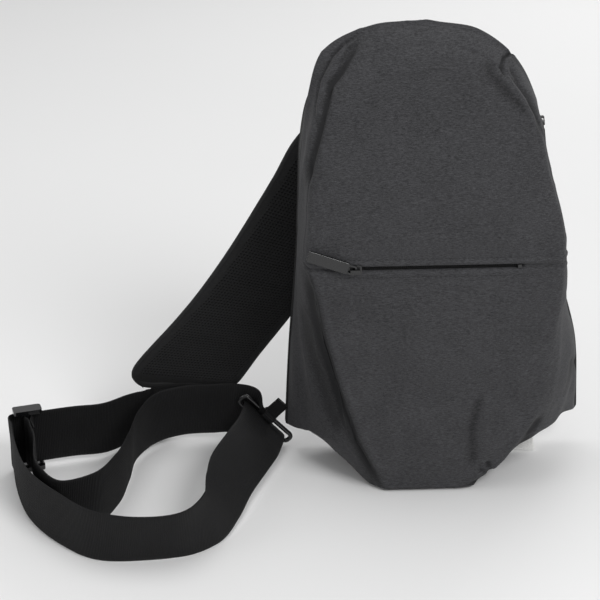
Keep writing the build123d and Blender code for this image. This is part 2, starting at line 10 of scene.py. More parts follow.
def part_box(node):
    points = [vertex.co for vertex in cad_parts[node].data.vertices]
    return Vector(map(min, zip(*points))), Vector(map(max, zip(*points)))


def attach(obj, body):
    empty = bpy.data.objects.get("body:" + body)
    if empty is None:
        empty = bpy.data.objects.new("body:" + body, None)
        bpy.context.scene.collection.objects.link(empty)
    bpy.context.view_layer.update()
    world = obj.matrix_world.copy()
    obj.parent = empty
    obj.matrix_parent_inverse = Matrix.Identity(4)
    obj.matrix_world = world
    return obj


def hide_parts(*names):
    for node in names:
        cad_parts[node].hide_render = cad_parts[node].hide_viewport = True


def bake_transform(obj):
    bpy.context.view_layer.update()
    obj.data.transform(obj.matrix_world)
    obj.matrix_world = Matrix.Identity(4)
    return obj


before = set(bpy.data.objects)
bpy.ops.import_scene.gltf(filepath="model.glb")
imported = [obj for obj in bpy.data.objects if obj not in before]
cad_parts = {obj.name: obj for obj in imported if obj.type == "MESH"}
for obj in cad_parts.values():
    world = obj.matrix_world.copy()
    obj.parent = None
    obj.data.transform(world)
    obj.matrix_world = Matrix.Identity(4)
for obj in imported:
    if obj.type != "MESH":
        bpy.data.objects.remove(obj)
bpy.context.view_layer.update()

MM = 0.001

# ------------------------------------------------------------------ camera
CAMERA_TARGET = Vector((-0.1062, 0.0, 0.1592))
CAMERA_DISTANCE = 1.5
CAMERA_ELEVATION = math.radians(24.5)
CAMERA_AZIMUTH = math.radians(-3)


def make_camera():
    """Camera at the viewing angle, about 1.5 m away; returns its place in millimetres."""
    back = Vector((math.sin(CAMERA_AZIMUTH) * math.cos(CAMERA_ELEVATION),
                   -math.cos(CAMERA_AZIMUTH) * math.cos(CAMERA_ELEVATION),
                   math.sin(CAMERA_ELEVATION)))
    data = bpy.data.cameras.new("camera")
    data.lens = 110.1
    data.sensor_width = 36
    camera = bpy.data.objects.new("camera", data)
    bpy.context.scene.collection.objects.link(camera)
    camera.location = CAMERA_TARGET + back * CAMERA_DISTANCE
    camera.rotation_mode = "QUATERNION"
    camera.rotation_quaternion = (-back).to_track_quat("-Z", "Y")
    bpy.context.scene.camera = camera
    return np.array(camera.location) / MM


SIGHT = make_camera()


# ------------------------------------------------------------------ materials
class Finish:
    """A node material that is built up step by step around one Principled shader."""

    def __init__(self, name, colour, roughness, sheen=0.0, coordinates="Object", **sockets):
        self.material = bpy.data.materials.new(name)
        self.material.use_nodes = True
        self.tree = self.material.node_tree
        self.shader = self.tree.nodes["Principled BSDF"]
        self.set("Base Color", (*colour, 1))
        self.set("Roughness", roughness)
        self.set("Sheen Weight", sheen)
        self.set("Sheen Roughness", 0.5)
        for socket, value in sockets.items():
            self.set(socket.replace("_", " "), value)
        self.place = self.tree.nodes.new("ShaderNodeTexCoord").outputs[coordinates]
        self.colour = colour
        self.bump = None

    def set(self, socket, value):
        self.shader.inputs[socket].default_value = value

    def link(self, a, b):
        self.tree.links.new(a, b)

    def scaled(self, scale):
        node = self.tree.nodes.new("ShaderNodeMapping")
        node.inputs["Scale"].default_value = scale
        self.link(self.place, node.inputs["Vector"])
        return node.outputs["Vector"]

    def noise(self, scale, detail=3.0, stretch=(1, 1, 1), rough=0.55):
        node = self.tree.nodes.new("ShaderNodeTexNoise")
        node.inputs["Scale"].default_value = scale
        node.inputs["Detail"].default_value = detail
        node.inputs["Roughness"].default_value = rough
        self.link(self.scaled(stretch), node.inputs["Vector"])
        return node.outputs["Fac"]

    def wave(self, scale, direction="X", distortion=0.0, stretch=(1, 1, 1)):
        node = self.tree.nodes.new("ShaderNodeTexWave")
        node.wave_type = "BANDS"
        node.bands_direction = direction
        node.inputs["Scale"].default_value = scale
        node.inputs["Distortion"].default_value = distortion
        node.inputs["Detail"].default_value = 1.5
        node.inputs["Detail Scale"].default_value = 1.2
        self.link(self.scaled(stretch), node.inputs["Vector"])
        return node.outputs["Fac"]

    def ramp(self, source, stops, smooth=True):
        node = self.tree.nodes.new("ShaderNodeValToRGB")
        if smooth:
            node.color_ramp.interpolation = "EASE"
        ramp = node.color_ramp
        while len(ramp.elements) < len(stops):
            ramp.elements.new(0.5)
        for element, (position, value) in zip(ramp.elements, stops):
            element.position = position
            shade = value if isinstance(value, tuple) else (value, value, value)
            element.color = (*shade, 1)
        self.link(source, node.inputs["Fac"])
        return node.outputs["Color"]

    def math(self, operation, a, b):
        node = self.tree.nodes.new("ShaderNodeMath")
        node.operation = operation
        for socket, value in zip(node.inputs, (a, b)):
            if isinstance(value, (int, float)):
                socket.default_value = value
            else:
                self.link(value, socket)
        return node.outputs["Value"]

    def tint(self, factor, low, high):
        """Base colour that runs from low to high shares of the finish's own colour."""
        dark = tuple(c * low for c in self.colour)
        light = tuple(c * high for c in self.colour)
        shade = self.ramp(factor, [(0.0, dark), (1.0, light)], smooth=False)
        self.link(shade, self.shader.inputs["Base Color"])

    def gloss(self, factor, low, high):
        self.link(self.ramp(factor, [(0.0, low), (1.0, high)]), self.shader.inputs["Roughness"])

    def raise_by(self, factor, distance, strength=1.0):
        node = self.tree.nodes.new("ShaderNodeBump")
        node.inputs["Strength"].default_value = strength
        node.inputs["Distance"].default_value = distance
        self.link(factor, node.inputs["Height"])
        if self.bump is not None:
            self.link(self.bump, node.inputs["Normal"])
        self.bump = node.outputs["Normal"]
        self.link(self.bump, self.shader.inputs["Normal"])


def melange(name, colour, contrast=1.0, weave=1.0):
    """Fabric of mixed yarns: fine sideways slub, plain weave, soft sheen, and painted shade darkening the
    shell's fold valleys.
    """
    f = Finish(name, colour, 0.9, sheen=0.05, Specular_IOR_Level=0.16)
    slub = f.noise(1500, 2.5, (0.22, 0.22, 1.0), 0.7)
    speck = f.noise(2600, 1.0, (0.5, 0.5, 1.0), 0.6)
    cloud = f.noise(26, 3.0)
    mix = f.math("ADD", f.math("MULTIPLY", slub, 0.62), f.math("MULTIPLY", speck, 0.38))
    mix = f.math("ADD", f.math("MULTIPLY", f.math("SUBTRACT", mix, 0.5), 3.1 * contrast), 0.5)
    mix = f.math("ADD", mix, f.math("MULTIPLY", f.math("SUBTRACT", cloud, 0.5), 0.35))
    # Painted shade: the colour is darkened along the shell's fold valleys, read from a mesh attribute.
    painted_crease_shade = f.tree.nodes.new("ShaderNodeAttribute")
    painted_crease_shade.attribute_name = "painted_crease_shade"
    mix = f.math("SUBTRACT", mix, f.math("MULTIPLY", painted_crease_shade.outputs["Fac"], 0.95))
    f.tint(mix, 0.42, 1.5)
    across = f.wave(420, "X", 0.6)
    up = f.wave(420, "Z", 0.6)
    f.raise_by(f.math("MULTIPLY", across, up), 0.00012 * weave, 0.7)
    f.raise_by(slub, 0.00016 * weave, 0.6)
    f.raise_by(f.noise(180, 3.0), 0.0004, 0.35)
    return f.material


def ribbed(name, colour, pitch, roughness=0.66, sheen=0.02):
    """Woven webbing; its fine ribs lie across it, and U runs along it in metres."""
    f = Finish(name, colour, roughness, sheen=sheen, coordinates="UV", Specular_IOR_Level=0.2)
    rib = f.wave(0.314 / pitch, "X", 0.25)
    twill = f.wave(0.314 / (pitch * 0.5), "DIAGONAL", 0.4, (1, 0.55, 1))
    fuzz = f.noise(2400, 2.0)
    wear = f.noise(45, 3.0)
    f.tint(f.math("ADD", f.math("MULTIPLY", rib, 0.6), f.math("MULTIPLY", wear, 0.5)), 0.45, 1.7)
    f.raise_by(rib, 0.00025, 0.6)
    f.raise_by(twill, 0.0001, 0.5)
    f.raise_by(fuzz, 0.00012, 0.5)
    return f.material


def airy(name, colour, pitch, coordinates="UV"):
    """Spacer mesh: rows of oval holes in a matt knit, their insides darkened as painted shade."""
    f = Finish(name, colour, 0.88, sheen=0.03, coordinates=coordinates, Specular_IOR_Level=0.15)
    across = f.wave(0.314 / pitch, "X")
    down = f.wave(0.314 / pitch, "Z" if coordinates == "Object" else "Y")
    hole = f.ramp(f.math("MULTIPLY", across, down), [(0.28, 0.0), (0.62, 1.0)])
    knit = f.noise(1900, 2.0)
    cloud = f.noise(30, 3.0)
    # Painted shade: the colour is darkened inside each hole, where the shadow in it would fall.
    shade = f.math("SUBTRACT", f.math("ADD", 0.75, f.math("MULTIPLY", cloud, 0.3)), hole)
    f.tint(shade, 0.12, 1.3)
    f.raise_by(f.math("SUBTRACT", 1.0, hole), 0.0008, 0.7)
    f.raise_by(knit, 0.0002, 0.6)
    return f.material


def taped(name, colour, sheen=0.03, roughness=0.6):
    """Narrow woven tape with a fine herringbone grain."""
    f = Finish(name, colour, roughness, sheen=sheen, Specular_IOR_Level=0.3)
    grain = f.wave(330, "DIAGONAL", 0.8)
    fibre = f.noise(1700, 2.0)
    cloud = f.noise(35, 3.0)
    f.tint(f.math("ADD", f.math("MULTIPLY", fibre, 0.8), f.math("MULTIPLY", cloud, 0.25)), 0.4, 1.7)
    f.raise_by(grain, 0.00015, 0.6)
    f.raise_by(fibre, 0.00015, 0.5)
    return f.material


def moulded(name, colour, roughness, coat=0.0, grain=0.00003):
    """Moulded plastic, a little worn, with faint orange peel."""
    f = Finish(name, colour, roughness, Coat_Weight=coat, Coat_Roughness=0.12)
    peel = f.noise(420, 2.0)
    wear = f.noise(75, 4.0)
    f.gloss(wear, roughness * 0.7, min(1.0, roughness * 1.5))
    f.tint(wear, 0.7, 1.4)
    f.raise_by(peel, grain, 0.6)
    return f.material


def stitched(name, colour):
    f = Finish(name, colour, 0.6, sheen=0.05, Specular_IOR_Level=0.3)
    twist = f.wave(700, "DIAGONAL", 0.5)
    f.tint(f.noise(600, 2.0), 0.6, 1.5)
    f.raise_by(twist, 0.0001, 0.5)
    return f.material


MATERIALS = {
    "body_fabric": melange("body_fabric", (0.046, 0.046, 0.049)),
    "lining_fabric": melange("lining_fabric", (0.10, 0.10, 0.105), 0.5, 0.6),
    "foam": taped("foam", (0.25, 0.25, 0.25), 0.1, 0.9),
    "back_fabric": melange("back_fabric", (0.013, 0.013, 0.0135), 0.8, 1.2),
    "air_mesh": airy("air_mesh", (0.014, 0.014, 0.0145), 0.0027),
    "binding_tape": taped("binding_tape", (0.009, 0.009, 0.0095)),
    "zip_tape": taped("zip_tape", (0.006, 0.006, 0.0065)),
    "zip_coil": moulded("zip_coil", (0.006, 0.006, 0.0065), 0.42),
    "zip_metal": moulded("zip_metal", (0.006, 0.006, 0.0065), 0.3, coat=0.3),
    "pull_grip": moulded("pull_grip", (0.004, 0.004, 0.0045), 0.26, coat=0.35),
    "webbing": ribbed("webbing", (0.0062, 0.0062, 0.0066), 0.00145),
    "hardware": moulded("hardware", (0.004, 0.004, 0.0045), 0.18, coat=0.5, grain=0.00002),
    "label": taped("label", (0.74, 0.74, 0.72), 0.3, 0.6),
}
THREAD = stitched("thread", (0.012, 0.012, 0.013))
MESH_BACK = airy("mesh_back", (0.016, 0.016, 0.0165), 0.0027, "Object")


# ------------------------------------------------------------------ mesh tools
def grid(rows, columns, start=0, wrap_rows=False, wrap_columns=False):
    """Quads of a rows by columns block of points."""
    index = start + np.arange(rows * columns).reshape(rows, columns)
    if wrap_columns:
        index = np.hstack([index, index[:, :1]])
    if wrap_rows:
        index = np.vstack([index, index[:1]])
    quads = [index[:-1, :-1], index[:-1, 1:], index[1:, 1:], index[1:, :-1]]
    return np.stack(quads, -1).reshape(-1, 4)


def build(name, points, faces, slot, material=None, uv=None, weld=0.0):
    """Mesh object from points in millimetres."""
    mesh = bpy.data.meshes.new(name)
    mesh.from_pydata((np.asarray(points) * MM).tolist(), [], [list(f) for f in faces])
    if uv is not None:
        layer = mesh.uv_layers.new(name="UVMap")
        corner = np.empty(len(mesh.loops), np.int32)
        mesh.loops.foreach_get("vertex_index", corner)
        layer.data.foreach_set("uv", (np.asarray(uv)[corner] * MM).astype(np.float32).ravel())
    if weld:
        work = bmesh.new()
        work.from_mesh(mesh)
        bmesh.ops.remove_doubles(work, verts=work.verts, dist=weld * MM)
        bmesh.ops.recalc_face_normals(work, faces=work.faces)
        work.to_mesh(mesh)
        work.free()
    mesh.polygons.foreach_set("use_smooth", np.ones(len(mesh.polygons), bool))
    mesh.materials.append(material or MATERIALS[slot])
    piece = bpy.data.objects.new(name, mesh)
    bpy.context.scene.collection.objects.link(piece)
    return piece


def coordinates(piece):
    co = np.empty(len(piece.data.vertices) * 3)
    piece.data.vertices.foreach_get("co", co)
    return co.reshape(-1, 3) / MM


def normals(piece):
    out = np.empty(len(piece.data.vertices) * 3, np.float32)
    piece.data.vertex_normals.foreach_get("vector", out)
    return out.reshape(-1, 3).astype(float)


def move_to(piece, points):
    piece.data.vertices.foreach_set("co", (np.asarray(points) * MM).astype(np.float32).ravel())
    piece.data.update()


def thicken(piece, thickness, offset=-1.0):
    """Gives a sheet its thickness in millimetres, on the side that offset says."""
    solid = piece.modifiers.new("thickness", "SOLIDIFY")
    solid.thickness = thickness * MM
    solid.offset = offset


def run_along(path):
    """Length of a path up to each of its points."""
    return np.concatenate([[0], np.cumsum(np.linalg.norm(np.diff(path, axis=0), axis=1))])


def read_path(at, run, path):
    """Points of a path at the lengths given by at, where run is its length at each point."""
    return np.column_stack([np.interp(at, run, path[:, i]) for i in range(3)])


def level_unit(vectors):
    """Unit vectors without their part along y."""
    level = vectors * np.array([1.0, 0.0, 1.0])
    return level / np.linalg.norm(level, axis=-1)[..., None]


def smooth_curve(knots, values, at):
    """Cubic curve through values at knots, read at the given places."""
    knots = np.asarray(knots, float)
    values = np.asarray(values, float)
    at = np.asarray(at, float)
    step = np.diff(knots)
    shape = (-1,) + (1,) * (values.ndim - 1)
    slope = np.diff(values, axis=0) / step.reshape(shape)
    share = (step[:-1] / (step[:-1] + step[1:])).reshape(shape)
    tangent = np.empty_like(values)
    tangent[0], tangent[-1] = slope[0], slope[-1]
    tangent[1:-1] = slope[:-1] * (1 - share) + slope[1:] * share
    i = np.clip(np.searchsorted(knots, at, side="right") - 1, 0, len(step) - 1)
    h = step[i].reshape(shape)
    t = ((at - knots[i]) / step[i]).reshape(shape)
    return ((2 * t**3 - 3 * t**2 + 1) * values[i] + (t**3 - 2 * t**2 + t) * h * tangent[i]
            + (3 * t**2 - 2 * t**3) * values[i + 1] + (t**3 - t**2) * h * tangent[i + 1])


def ease(value, low, high):
    t = np.clip((np.asarray(value, float) - low) / (high - low), 0, 1)
    return t * t * (3 - 2 * t)


def ripples(points, seed, size, waves=9):
    """Gentle random undulation from -1 to 1 whose features are about size across."""
    draw = np.random.default_rng(seed)
    total = np.zeros(len(points))
    for _ in range(waves):
        direction = draw.normal(size=3)
        direction *= draw.uniform(0.6, 1.5) * math.pi / size / np.linalg.norm(direction)
        total += np.sin(points @ direction + draw.uniform(0, 2 * math.pi))
    return total / math.sqrt(waves * 0.5) / 2


def seen(points):
    """Where the camera sees points, as (x, z) on the plane y = 0."""
    points = np.asarray(points, float)
    share = SIGHT[1] / (SIGHT[1] - points[:, 1])
    return (SIGHT + (points - SIGHT) * share[:, None])[:, [0, 2]]


def line_distance(places, line):
    """Distance from a broken line, signed by the side, and the share of its length passed."""
    line = np.asarray(line, float)
    ends = np.diff(line, axis=0)
    lengths = np.linalg.norm(ends, axis=1)
    before = np.concatenate([[0], np.cumsum(lengths)])
    best = np.full(len(places), 1e9)
    side = np.zeros(len(places))
    along = np.zeros(len(places))
    for a, d, length, passed in zip(line, ends, lengths, before):
        rel = places - a
        t = np.clip(rel @ d / length**2, 0, 1)
        gap = np.linalg.norm(rel - t[:, None] * d, axis=1)
        near = gap < best
        best[near] = gap[near]
        side[near] = np.sign(d[0] * rel[near, 1] - d[1] * rel[near, 0])
        along[near] = (passed + t[near] * length) / before[-1]
    return best, side, along


# ------------------------------------------------------------------ body shell
T_KNOTS = [0, 0.09, 0.2, 0.33, 0.46, 0.56, 0.645, 0.73, 0.82, 0.91, 1.0]
# Each loop: depth at waist, top and base; left chain (wing x, wing z, then x at heights
# 93, 150, 208, 245), right chain, arch centre, arch radii from left to right, base.
HEIGHTS = (93, 150, 208, 245)
LOOPS = [
    ((-51.3, -20, -40.5), (-66, 52, -73, -87, -93, -93), (75, 56, 80, 88, 91, 89),
     (-5, 279), (83, 83, 85, 84, 83, 83, 82, 81.5, 82.5), (34, 32, 3.5)),
    ((-49.5, -17.5, -38.5), (-66, 47, -79, -93.5, -101, -100), (81.5, 52, 88, 95, 98, 95),
     (-5, 279), (90, 90, 92.5, 91.5, 90, 90, 88.5, 88, 89.5), (39.5, 37.5, 1.2)),
    ((-42, -12, -33), (-69, 45, -79, -94.5, -104, -103), (87, 50, 98, 101, 102, 97),
     (-6, 281.5), (93.5, 94, 98, 96.5, 94, 93.5, 91.5, 91, 93), (44, 42, 0.3)),
    ((-30, -4, -26), (-77, 43, -86, -98.5, -106, -104), (94, 48, 106, 106, 105, 99.5),
     (-7, 284), (95.5, 96, 103, 101, 97.5, 97, 94, 93.5, 95.5), (50, 46, 0)),
    ((-14, 6, -10), (-88, 37, -97, -103, -107, -105), (107, 45, 118, 112, 107.5, 100),
     (-7.5, 285.5), (96, 98, 108, 105, 101, 101, 98, 95, 97), (56, 50, 0)),
    ((12, 14, 12), (-99, 32, -105, -107, -107.5, -106), (120, 44, 127, 116.5, 109, 100.5),
     (-8, 285), (97, 100, 111, 107, 103.5, 103.8, 101, 96.3, 98.5), (60, 51, 1.5)),
    ((24, 23, 24), (-107, 27.5, -110, -108.5, -107, -105.5), (129, 39, 130, 118, 109, 99.5),
     (-8, 285), (95.5,) * 9, (60, 50, 4.5)),
    ((42, 42, 42), (-115, 22, -112.5, -109, -106, -105), (136, 31, 132, 118, 108.5, 98),
     (-8, 285), (95,) * 9, (57, 46, 8)),
]
LOOP_KNOTS = [0, 6, 14, 27, 44, 71, 83, 101]
WAIST = 208.0
TOP = 385.0
COLUMNS = 118
DIVIDER_LOOP, BAND_LOOP, BACK_LOOP = 3, 6, 7
BAG_MIDDLE = np.array([-6.0, 0, 190.0])
ARCH_CENTRE = np.array([-8.0, 0, 285.0])


def depth_at(depths, z):
    waist, top, base = depths
    below = base + (waist - base) * np.clip(z / WAIST, 0, 1)
    above = waist + (top - waist) * ease(z, WAIST, TOP) * 0.35 \
        + (top - waist) * np.clip((z - WAIST) / (TOP - WAIST), 0, 1) * 0.65
    return np.where(z < WAIST, below, above)


# Points between the wing and the base where the side panel's lower edge has a step.
LEFT_STEPS = {5: (-90, 30.0), 6: (-89, 22.5)}
RIGHT_STEPS = {3: (80, 35), 4: (90, 38), 5: (102, 42), 6: (106, 36), 7: (109, 26.5)}
WING_KNOT = T_KNOTS[1]


def along_chain(k, left, at):
    """One side of loop k at the shares at: straight to the wing's corner, smooth above it."""
    points = chain(LOOPS[k], left)
    steps = LEFT_STEPS if left else RIGHT_STEPS
    middle = (points[0] + points[1]) / 2
    if k in steps:
        x, z = steps[k]
        middle = np.array([x, middle[1], z])
    low = smooth_curve([0, WING_KNOT / 2, WING_KNOT], [points[0], middle, points[1]],
                       np.minimum(at, WING_KNOT))
    high = smooth_curve(T_KNOTS[1:], points[1:], np.maximum(at, WING_KNOT))
    return np.where((at < WING_KNOT)[:, None], low, high)


def chain(loop, left):
    """Corner points (x, y, z) of one side of a loop, from the base to the arch's top."""
    depths, left_side, right_side, centre, radii, base = loop
    wing_x, wing_z, *widths = left_side if left else right_side
    sign = -1 if left else 1
    points = [(sign * base[0 if left else 1], base[2]), (wing_x, wing_z)]
    points += list(zip(widths, HEIGHTS))
    for step in range(5):
        angle = math.radians(180 - 22.5 * step if left else 22.5 * step)
        radius = radii[step if left else 8 - step]
        points.append((centre[0] + radius * math.cos(angle), centre[1] + radius * math.sin(angle)))
    points = np.array(points, float)
    return np.column_stack([points[:, 0], depth_at(depths, points[:, 1]), points[:, 1]])


def side_places():
    """Shares t of the side chain, closer together about the waist."""
    fine = np.linspace(0, 1, 4000)
    path = along_chain(1, True, fine)
    z = path[:, 2]
    wanted = np.where(np.abs(z - WAIST) < 5, 0.55, 1.6)
    run = np.concatenate([[0], np.cumsum(np.linalg.norm(np.diff(path, axis=0), axis=1) / wanted[1:])])
    return np.interp(np.linspace(0, run[-1], int(run[-1]) + 1), run, fine)


SIDES = side_places()
ACROSS = 0.5 - 0.5 * np.cos(np.linspace(0, 1, COLUMNS) * math.pi)
ACROSS = 0.45 * ACROSS + 0.55 * np.linspace(0, 1, COLUMNS)


def soften(ring, rounds, near):
    """Rounds off a closed ring where near is 1."""
    for _ in range(rounds):
        mean = (np.roll(ring, 1, 0) + np.roll(ring, -1, 0)) / 2
        ring = ring + (mean - ring) * 0.5 * near[:, None]
    return ring


def ring_of(k, inset=0.0):
    """One loop as a closed ring: up the left, down the right, back along the underside."""
    left = along_chain(k, True, SIDES)
    right = along_chain(k, False, SIDES)
    under = right[0] + (left[0] - right[0]) * ACROSS[1:-1, None]
    ring = np.vstack([left, right[-2::-1], under])
    count = len(SIDES)
    place = np.arange(len(ring))
    to_left = np.minimum(place, len(ring) - place)
    to_right = np.abs(place - (2 * count - 2))
    near = 1 - ease(np.minimum(to_left, to_right), 4, 14)
    ring = soften(ring, 14, near)
    if inset:
        middle = np.array([ring[:, 0].mean(), 0, BAG_MIDDLE[2]])
        ring = ring - inset * level_unit(ring - middle)
    return ring


def loft_rings(inset=0.0, spacing=1.6):
    """All rings blended across the depth; rows from front to back."""
    rings = np.stack([ring_of(k, inset) for k in range(len(LOOPS))])
    count = int(LOOP_KNOTS[-1] / spacing)
    return smooth_curve(LOOP_KNOTS, rings, np.linspace(0, LOOP_KNOTS[-1], count))


def cap_of(ring, bulge):
    """Points that fill a ring; bulge(z, share across) pushes them along y."""
    count = len(SIDES)
    left = ring[:count]
    right = ring[2 * count - 2:count - 2:-1]
    rows = left[:, None] + (right - left)[:, None] * ACROSS[None, :, None]
    rows[0, 1:-1] = ring[2 * count - 1:][::-1]
    rows[..., 1] += bulge(rows[..., 2], ACROSS[None, :])
    return rows


def front_bulge(z, across):
    """The upper panel swells gently, the lower one more, and neither at the zip."""
    round_off = 1 - np.abs(2 * across - 1) ** 2.6
    upper = 4.2 * np.sin(math.pi * np.clip((z - WAIST) / 150, 0, 1)) ** 0.8
    lower = 5.5 * np.sin(math.pi * np.clip(z / WAIST, 0, 1)) ** 0.9
    return -round_off * np.where(z > WAIST, upper, lower)


# Above the waist the shell ends at the main zip: it stops at LIP_DEPTH and turns inwards.
LIP_DEPTH = 24.6
LIP_REACH = 17.0
LIP_TURN = 6.0
LIP_MIDDLE = np.array([-6.0, 0, 250.0])


def shell_points(inset=0.0, spacing=1.6):
    """The lofted rings with the zip's lip above the waist, and nothing below the floor."""
    rings = loft_rings(inset, spacing)
    above = ease(rings[..., 2], WAIST - 8, WAIST + 4)
    limited = np.minimum(rings[..., 1], LIP_DEPTH)
    pulled = np.clip((rings[..., 1] - LIP_DEPTH) / LIP_REACH, 0, 1) * above
    rings[..., 1] += (limited - rings[..., 1]) * above
    rings = rings - level_unit(rings - LIP_MIDDLE) * (LIP_TURN * pulled[..., None])
    rings[..., 2] = np.maximum(rings[..., 2], 0.25)
    return rings


def make_shell():
    rings = shell_points()
    cap = cap_of(rings[0], front_bulge)
    rows, around = rings.shape[:2]
    points = np.vstack([rings.reshape(-1, 3), cap.reshape(-1, 3)])
    faces = np.vstack([grid(rows, around, wrap_columns=True),
                       grid(cap.shape[0], cap.shape[1], start=rows * around)])
    return build("bag_shell", points, faces, "body_fabric", weld=0.02)


# Folds: (depth plane y, line of (x, z), valley, width, ridge, side of the ridge). Their valleys are also
# painted into the fabric's colour as shade.
FOLDS = [
    (-18, [(-62.3, 385.6), (-68.3, 371.5), (-75, 359.8), (-83.4, 347.9), (-84.8, 338.3),
           (-90.1, 316.6), (-99.3, 278.1), (-103.2, 263.1)], 1.7, 2.2, 0.9, -1),
    (0, [(-62.3, 381.9), (-71.5, 375.7), (-81.5, 366.3), (-86.8, 355.9), (-90.7, 346.3),
         (-93.7, 326.9), (-93.6, 304.7)], 0.9, 1.2, 0.4, 1),
    (-8, [(-68.3, 378), (-78.1, 360.7)], 1.2, 1.6, 0.8, 1),
    (0, [(58.3, 366.5), (51.5, 361.7), (50.2, 355.3), (52.8, 349.6), (55.3, 347.1)],
     1.7, 1.3, 0.8, 1),
    (0, [(53.2, 358.5), (63.4, 342.1), (72.7, 329.7), (80.6, 314.8), (85.8, 292.2)],
     1.1, 1.6, 0.6, -1),
    (-18, [(36.1, 367.5), (42.2, 351.4), (54.5, 338.4), (71.7, 321.8)], 0.7, 4.2, 0.5, 1),
    (-42, [(-104.5, 204.2), (-98.9, 178.1), (-92.4, 146.3), (-80, 99.3), (-63.9, 49.9),
           (-53.7, 28.8), (-41.7, 5.6)], 2.6, 2.8, 1.2, 1),
    # Wide shallow valley left of the long crease: a slight dip that mainly paints a band of shade into the
    # fabric's colour.
    (-30, [(-107.8, 172.9), (-101.3, 140.8), (-89.8, 93.4), (-74.6, 48.3)], 0.9, 5.0, 0.0, 1),
    (20, [(129.3, 93.2), (120.1, 62), (105, 38.2)], 1.5, 2.6, 0.8, 1),
    (-40, [(39, 88.6), (33.7, 56.3), (35.1, 20.3)], 0.7, 3.6, 0.5, 1),
    (-38, [(40.6, 17.1), (53.3, 13.8), (46.9, 26.4)], 1.4, 2.2, 0.7, 1),
    (-38, [(30.3, 0.1), (42.7, 5.5), (56.7, 13.7), (65.4, 24), (78.7, 44.5), (93.2, 68.5)],
     1.8, 2.4, 0.9, 1),
]
# Softer folds that a filled pocket has: from the zip's ends, the wings and the base.
SOFT_FOLDS = [
    (-50, [(-88, 206), (-60, 196), (-30, 192)], 0.9, 4.5, 0.5, -1),
    (-50, [(90, 206), (66, 194), (40, 190)], 0.9, 4.0, 0.5, 1),
    (-50, [(-92, 214), (-70, 226), (-52, 244)], 0.8, 5.0, 0.5, 1),
    (-50, [(92, 214), (74, 228), (60, 252)], 0.8, 5.0, 0.5, -1),
    (-46, [(-70, 60), (-48, 84), (-38, 120)], 1.0, 6.0, 0.6, 1),
    (-46, [(76, 60), (60, 88), (56, 128)], 1.0, 6.0, 0.6, -1),
    (-44, [(-30, 6), (-22, 34), (-26, 66)], 0.9, 5.0, 0.4, 1),
    (-48, [(-58, 190), (-66, 160), (-66, 128)], 0.7, 6.0, 0.5, 1),
    (-48, [(62, 192), (74, 158), (72, 128)], 0.7, 6.0, 0.5, -1),
    (10, [(112, 190), (116, 160), (120, 130)], 0.8, 4.0, 0.5, 1),
]
FOLD_REACH = 38.0
FOLD_STRENGTH = 1.7
# Fold depth at which the painted crease shade in the fabric's colour is darkest.
PAINTED_SHADE_DEPTH = 1.7
ZIP_LEFT, ZIP_RIGHT = -76.0, 66.0


def fold(points, seen_points, y, line, valley, width, ridge, side):
    """Height change of one fold at every point."""
    line3 = np.array([(x, y, z) for x, z in line], float)
    gap, where, along = line_distance(seen_points, seen(line3))
    near = 1 - ease(np.abs(points[:, 1] - y), FOLD_REACH * 0.6, FOLD_REACH)
    ends = ease(along, 0.0, 0.12) * (1 - ease(along, 0.88, 1.0)) * 0.85 + 0.15
    wide = np.where(where * side > 0, width * 1.9, width)
    height = -valley * np.exp(-(gap / wide) ** 2)
    height += ridge * np.exp(-((gap - 2.4 * width) / (1.5 * width)) ** 2) * (where * side > 0)
    return height * near * ends


def zip_groove(points):
    """Slit for the pocket zip, and the shallow seam beyond its ends."""
    x, y, z = points.T
    front = y < -36
    open_part = ease(x, ZIP_LEFT - 3, ZIP_LEFT + 1) * (1 - ease(x, ZIP_RIGHT - 1, ZIP_RIGHT + 3))
    gap = np.abs(z - WAIST)
    deep = -4.6 * (1 - ease(gap, 1.1, 2.1)) * open_part
    seam = -1.5 * np.exp(-(gap / 1.3) ** 2) * (1 - open_part)
    lip = 1.25 * np.exp(-((z - WAIST - 4.2) / 2.4) ** 2) + 0.7 * np.exp(-((WAIST - z - 4.4) / 2.2) ** 2)
    stitched_line = -0.45 * np.exp(-((gap - 7.6) / 0.9) ** 2)
    return (deep + seam + lip + stitched_line) * front


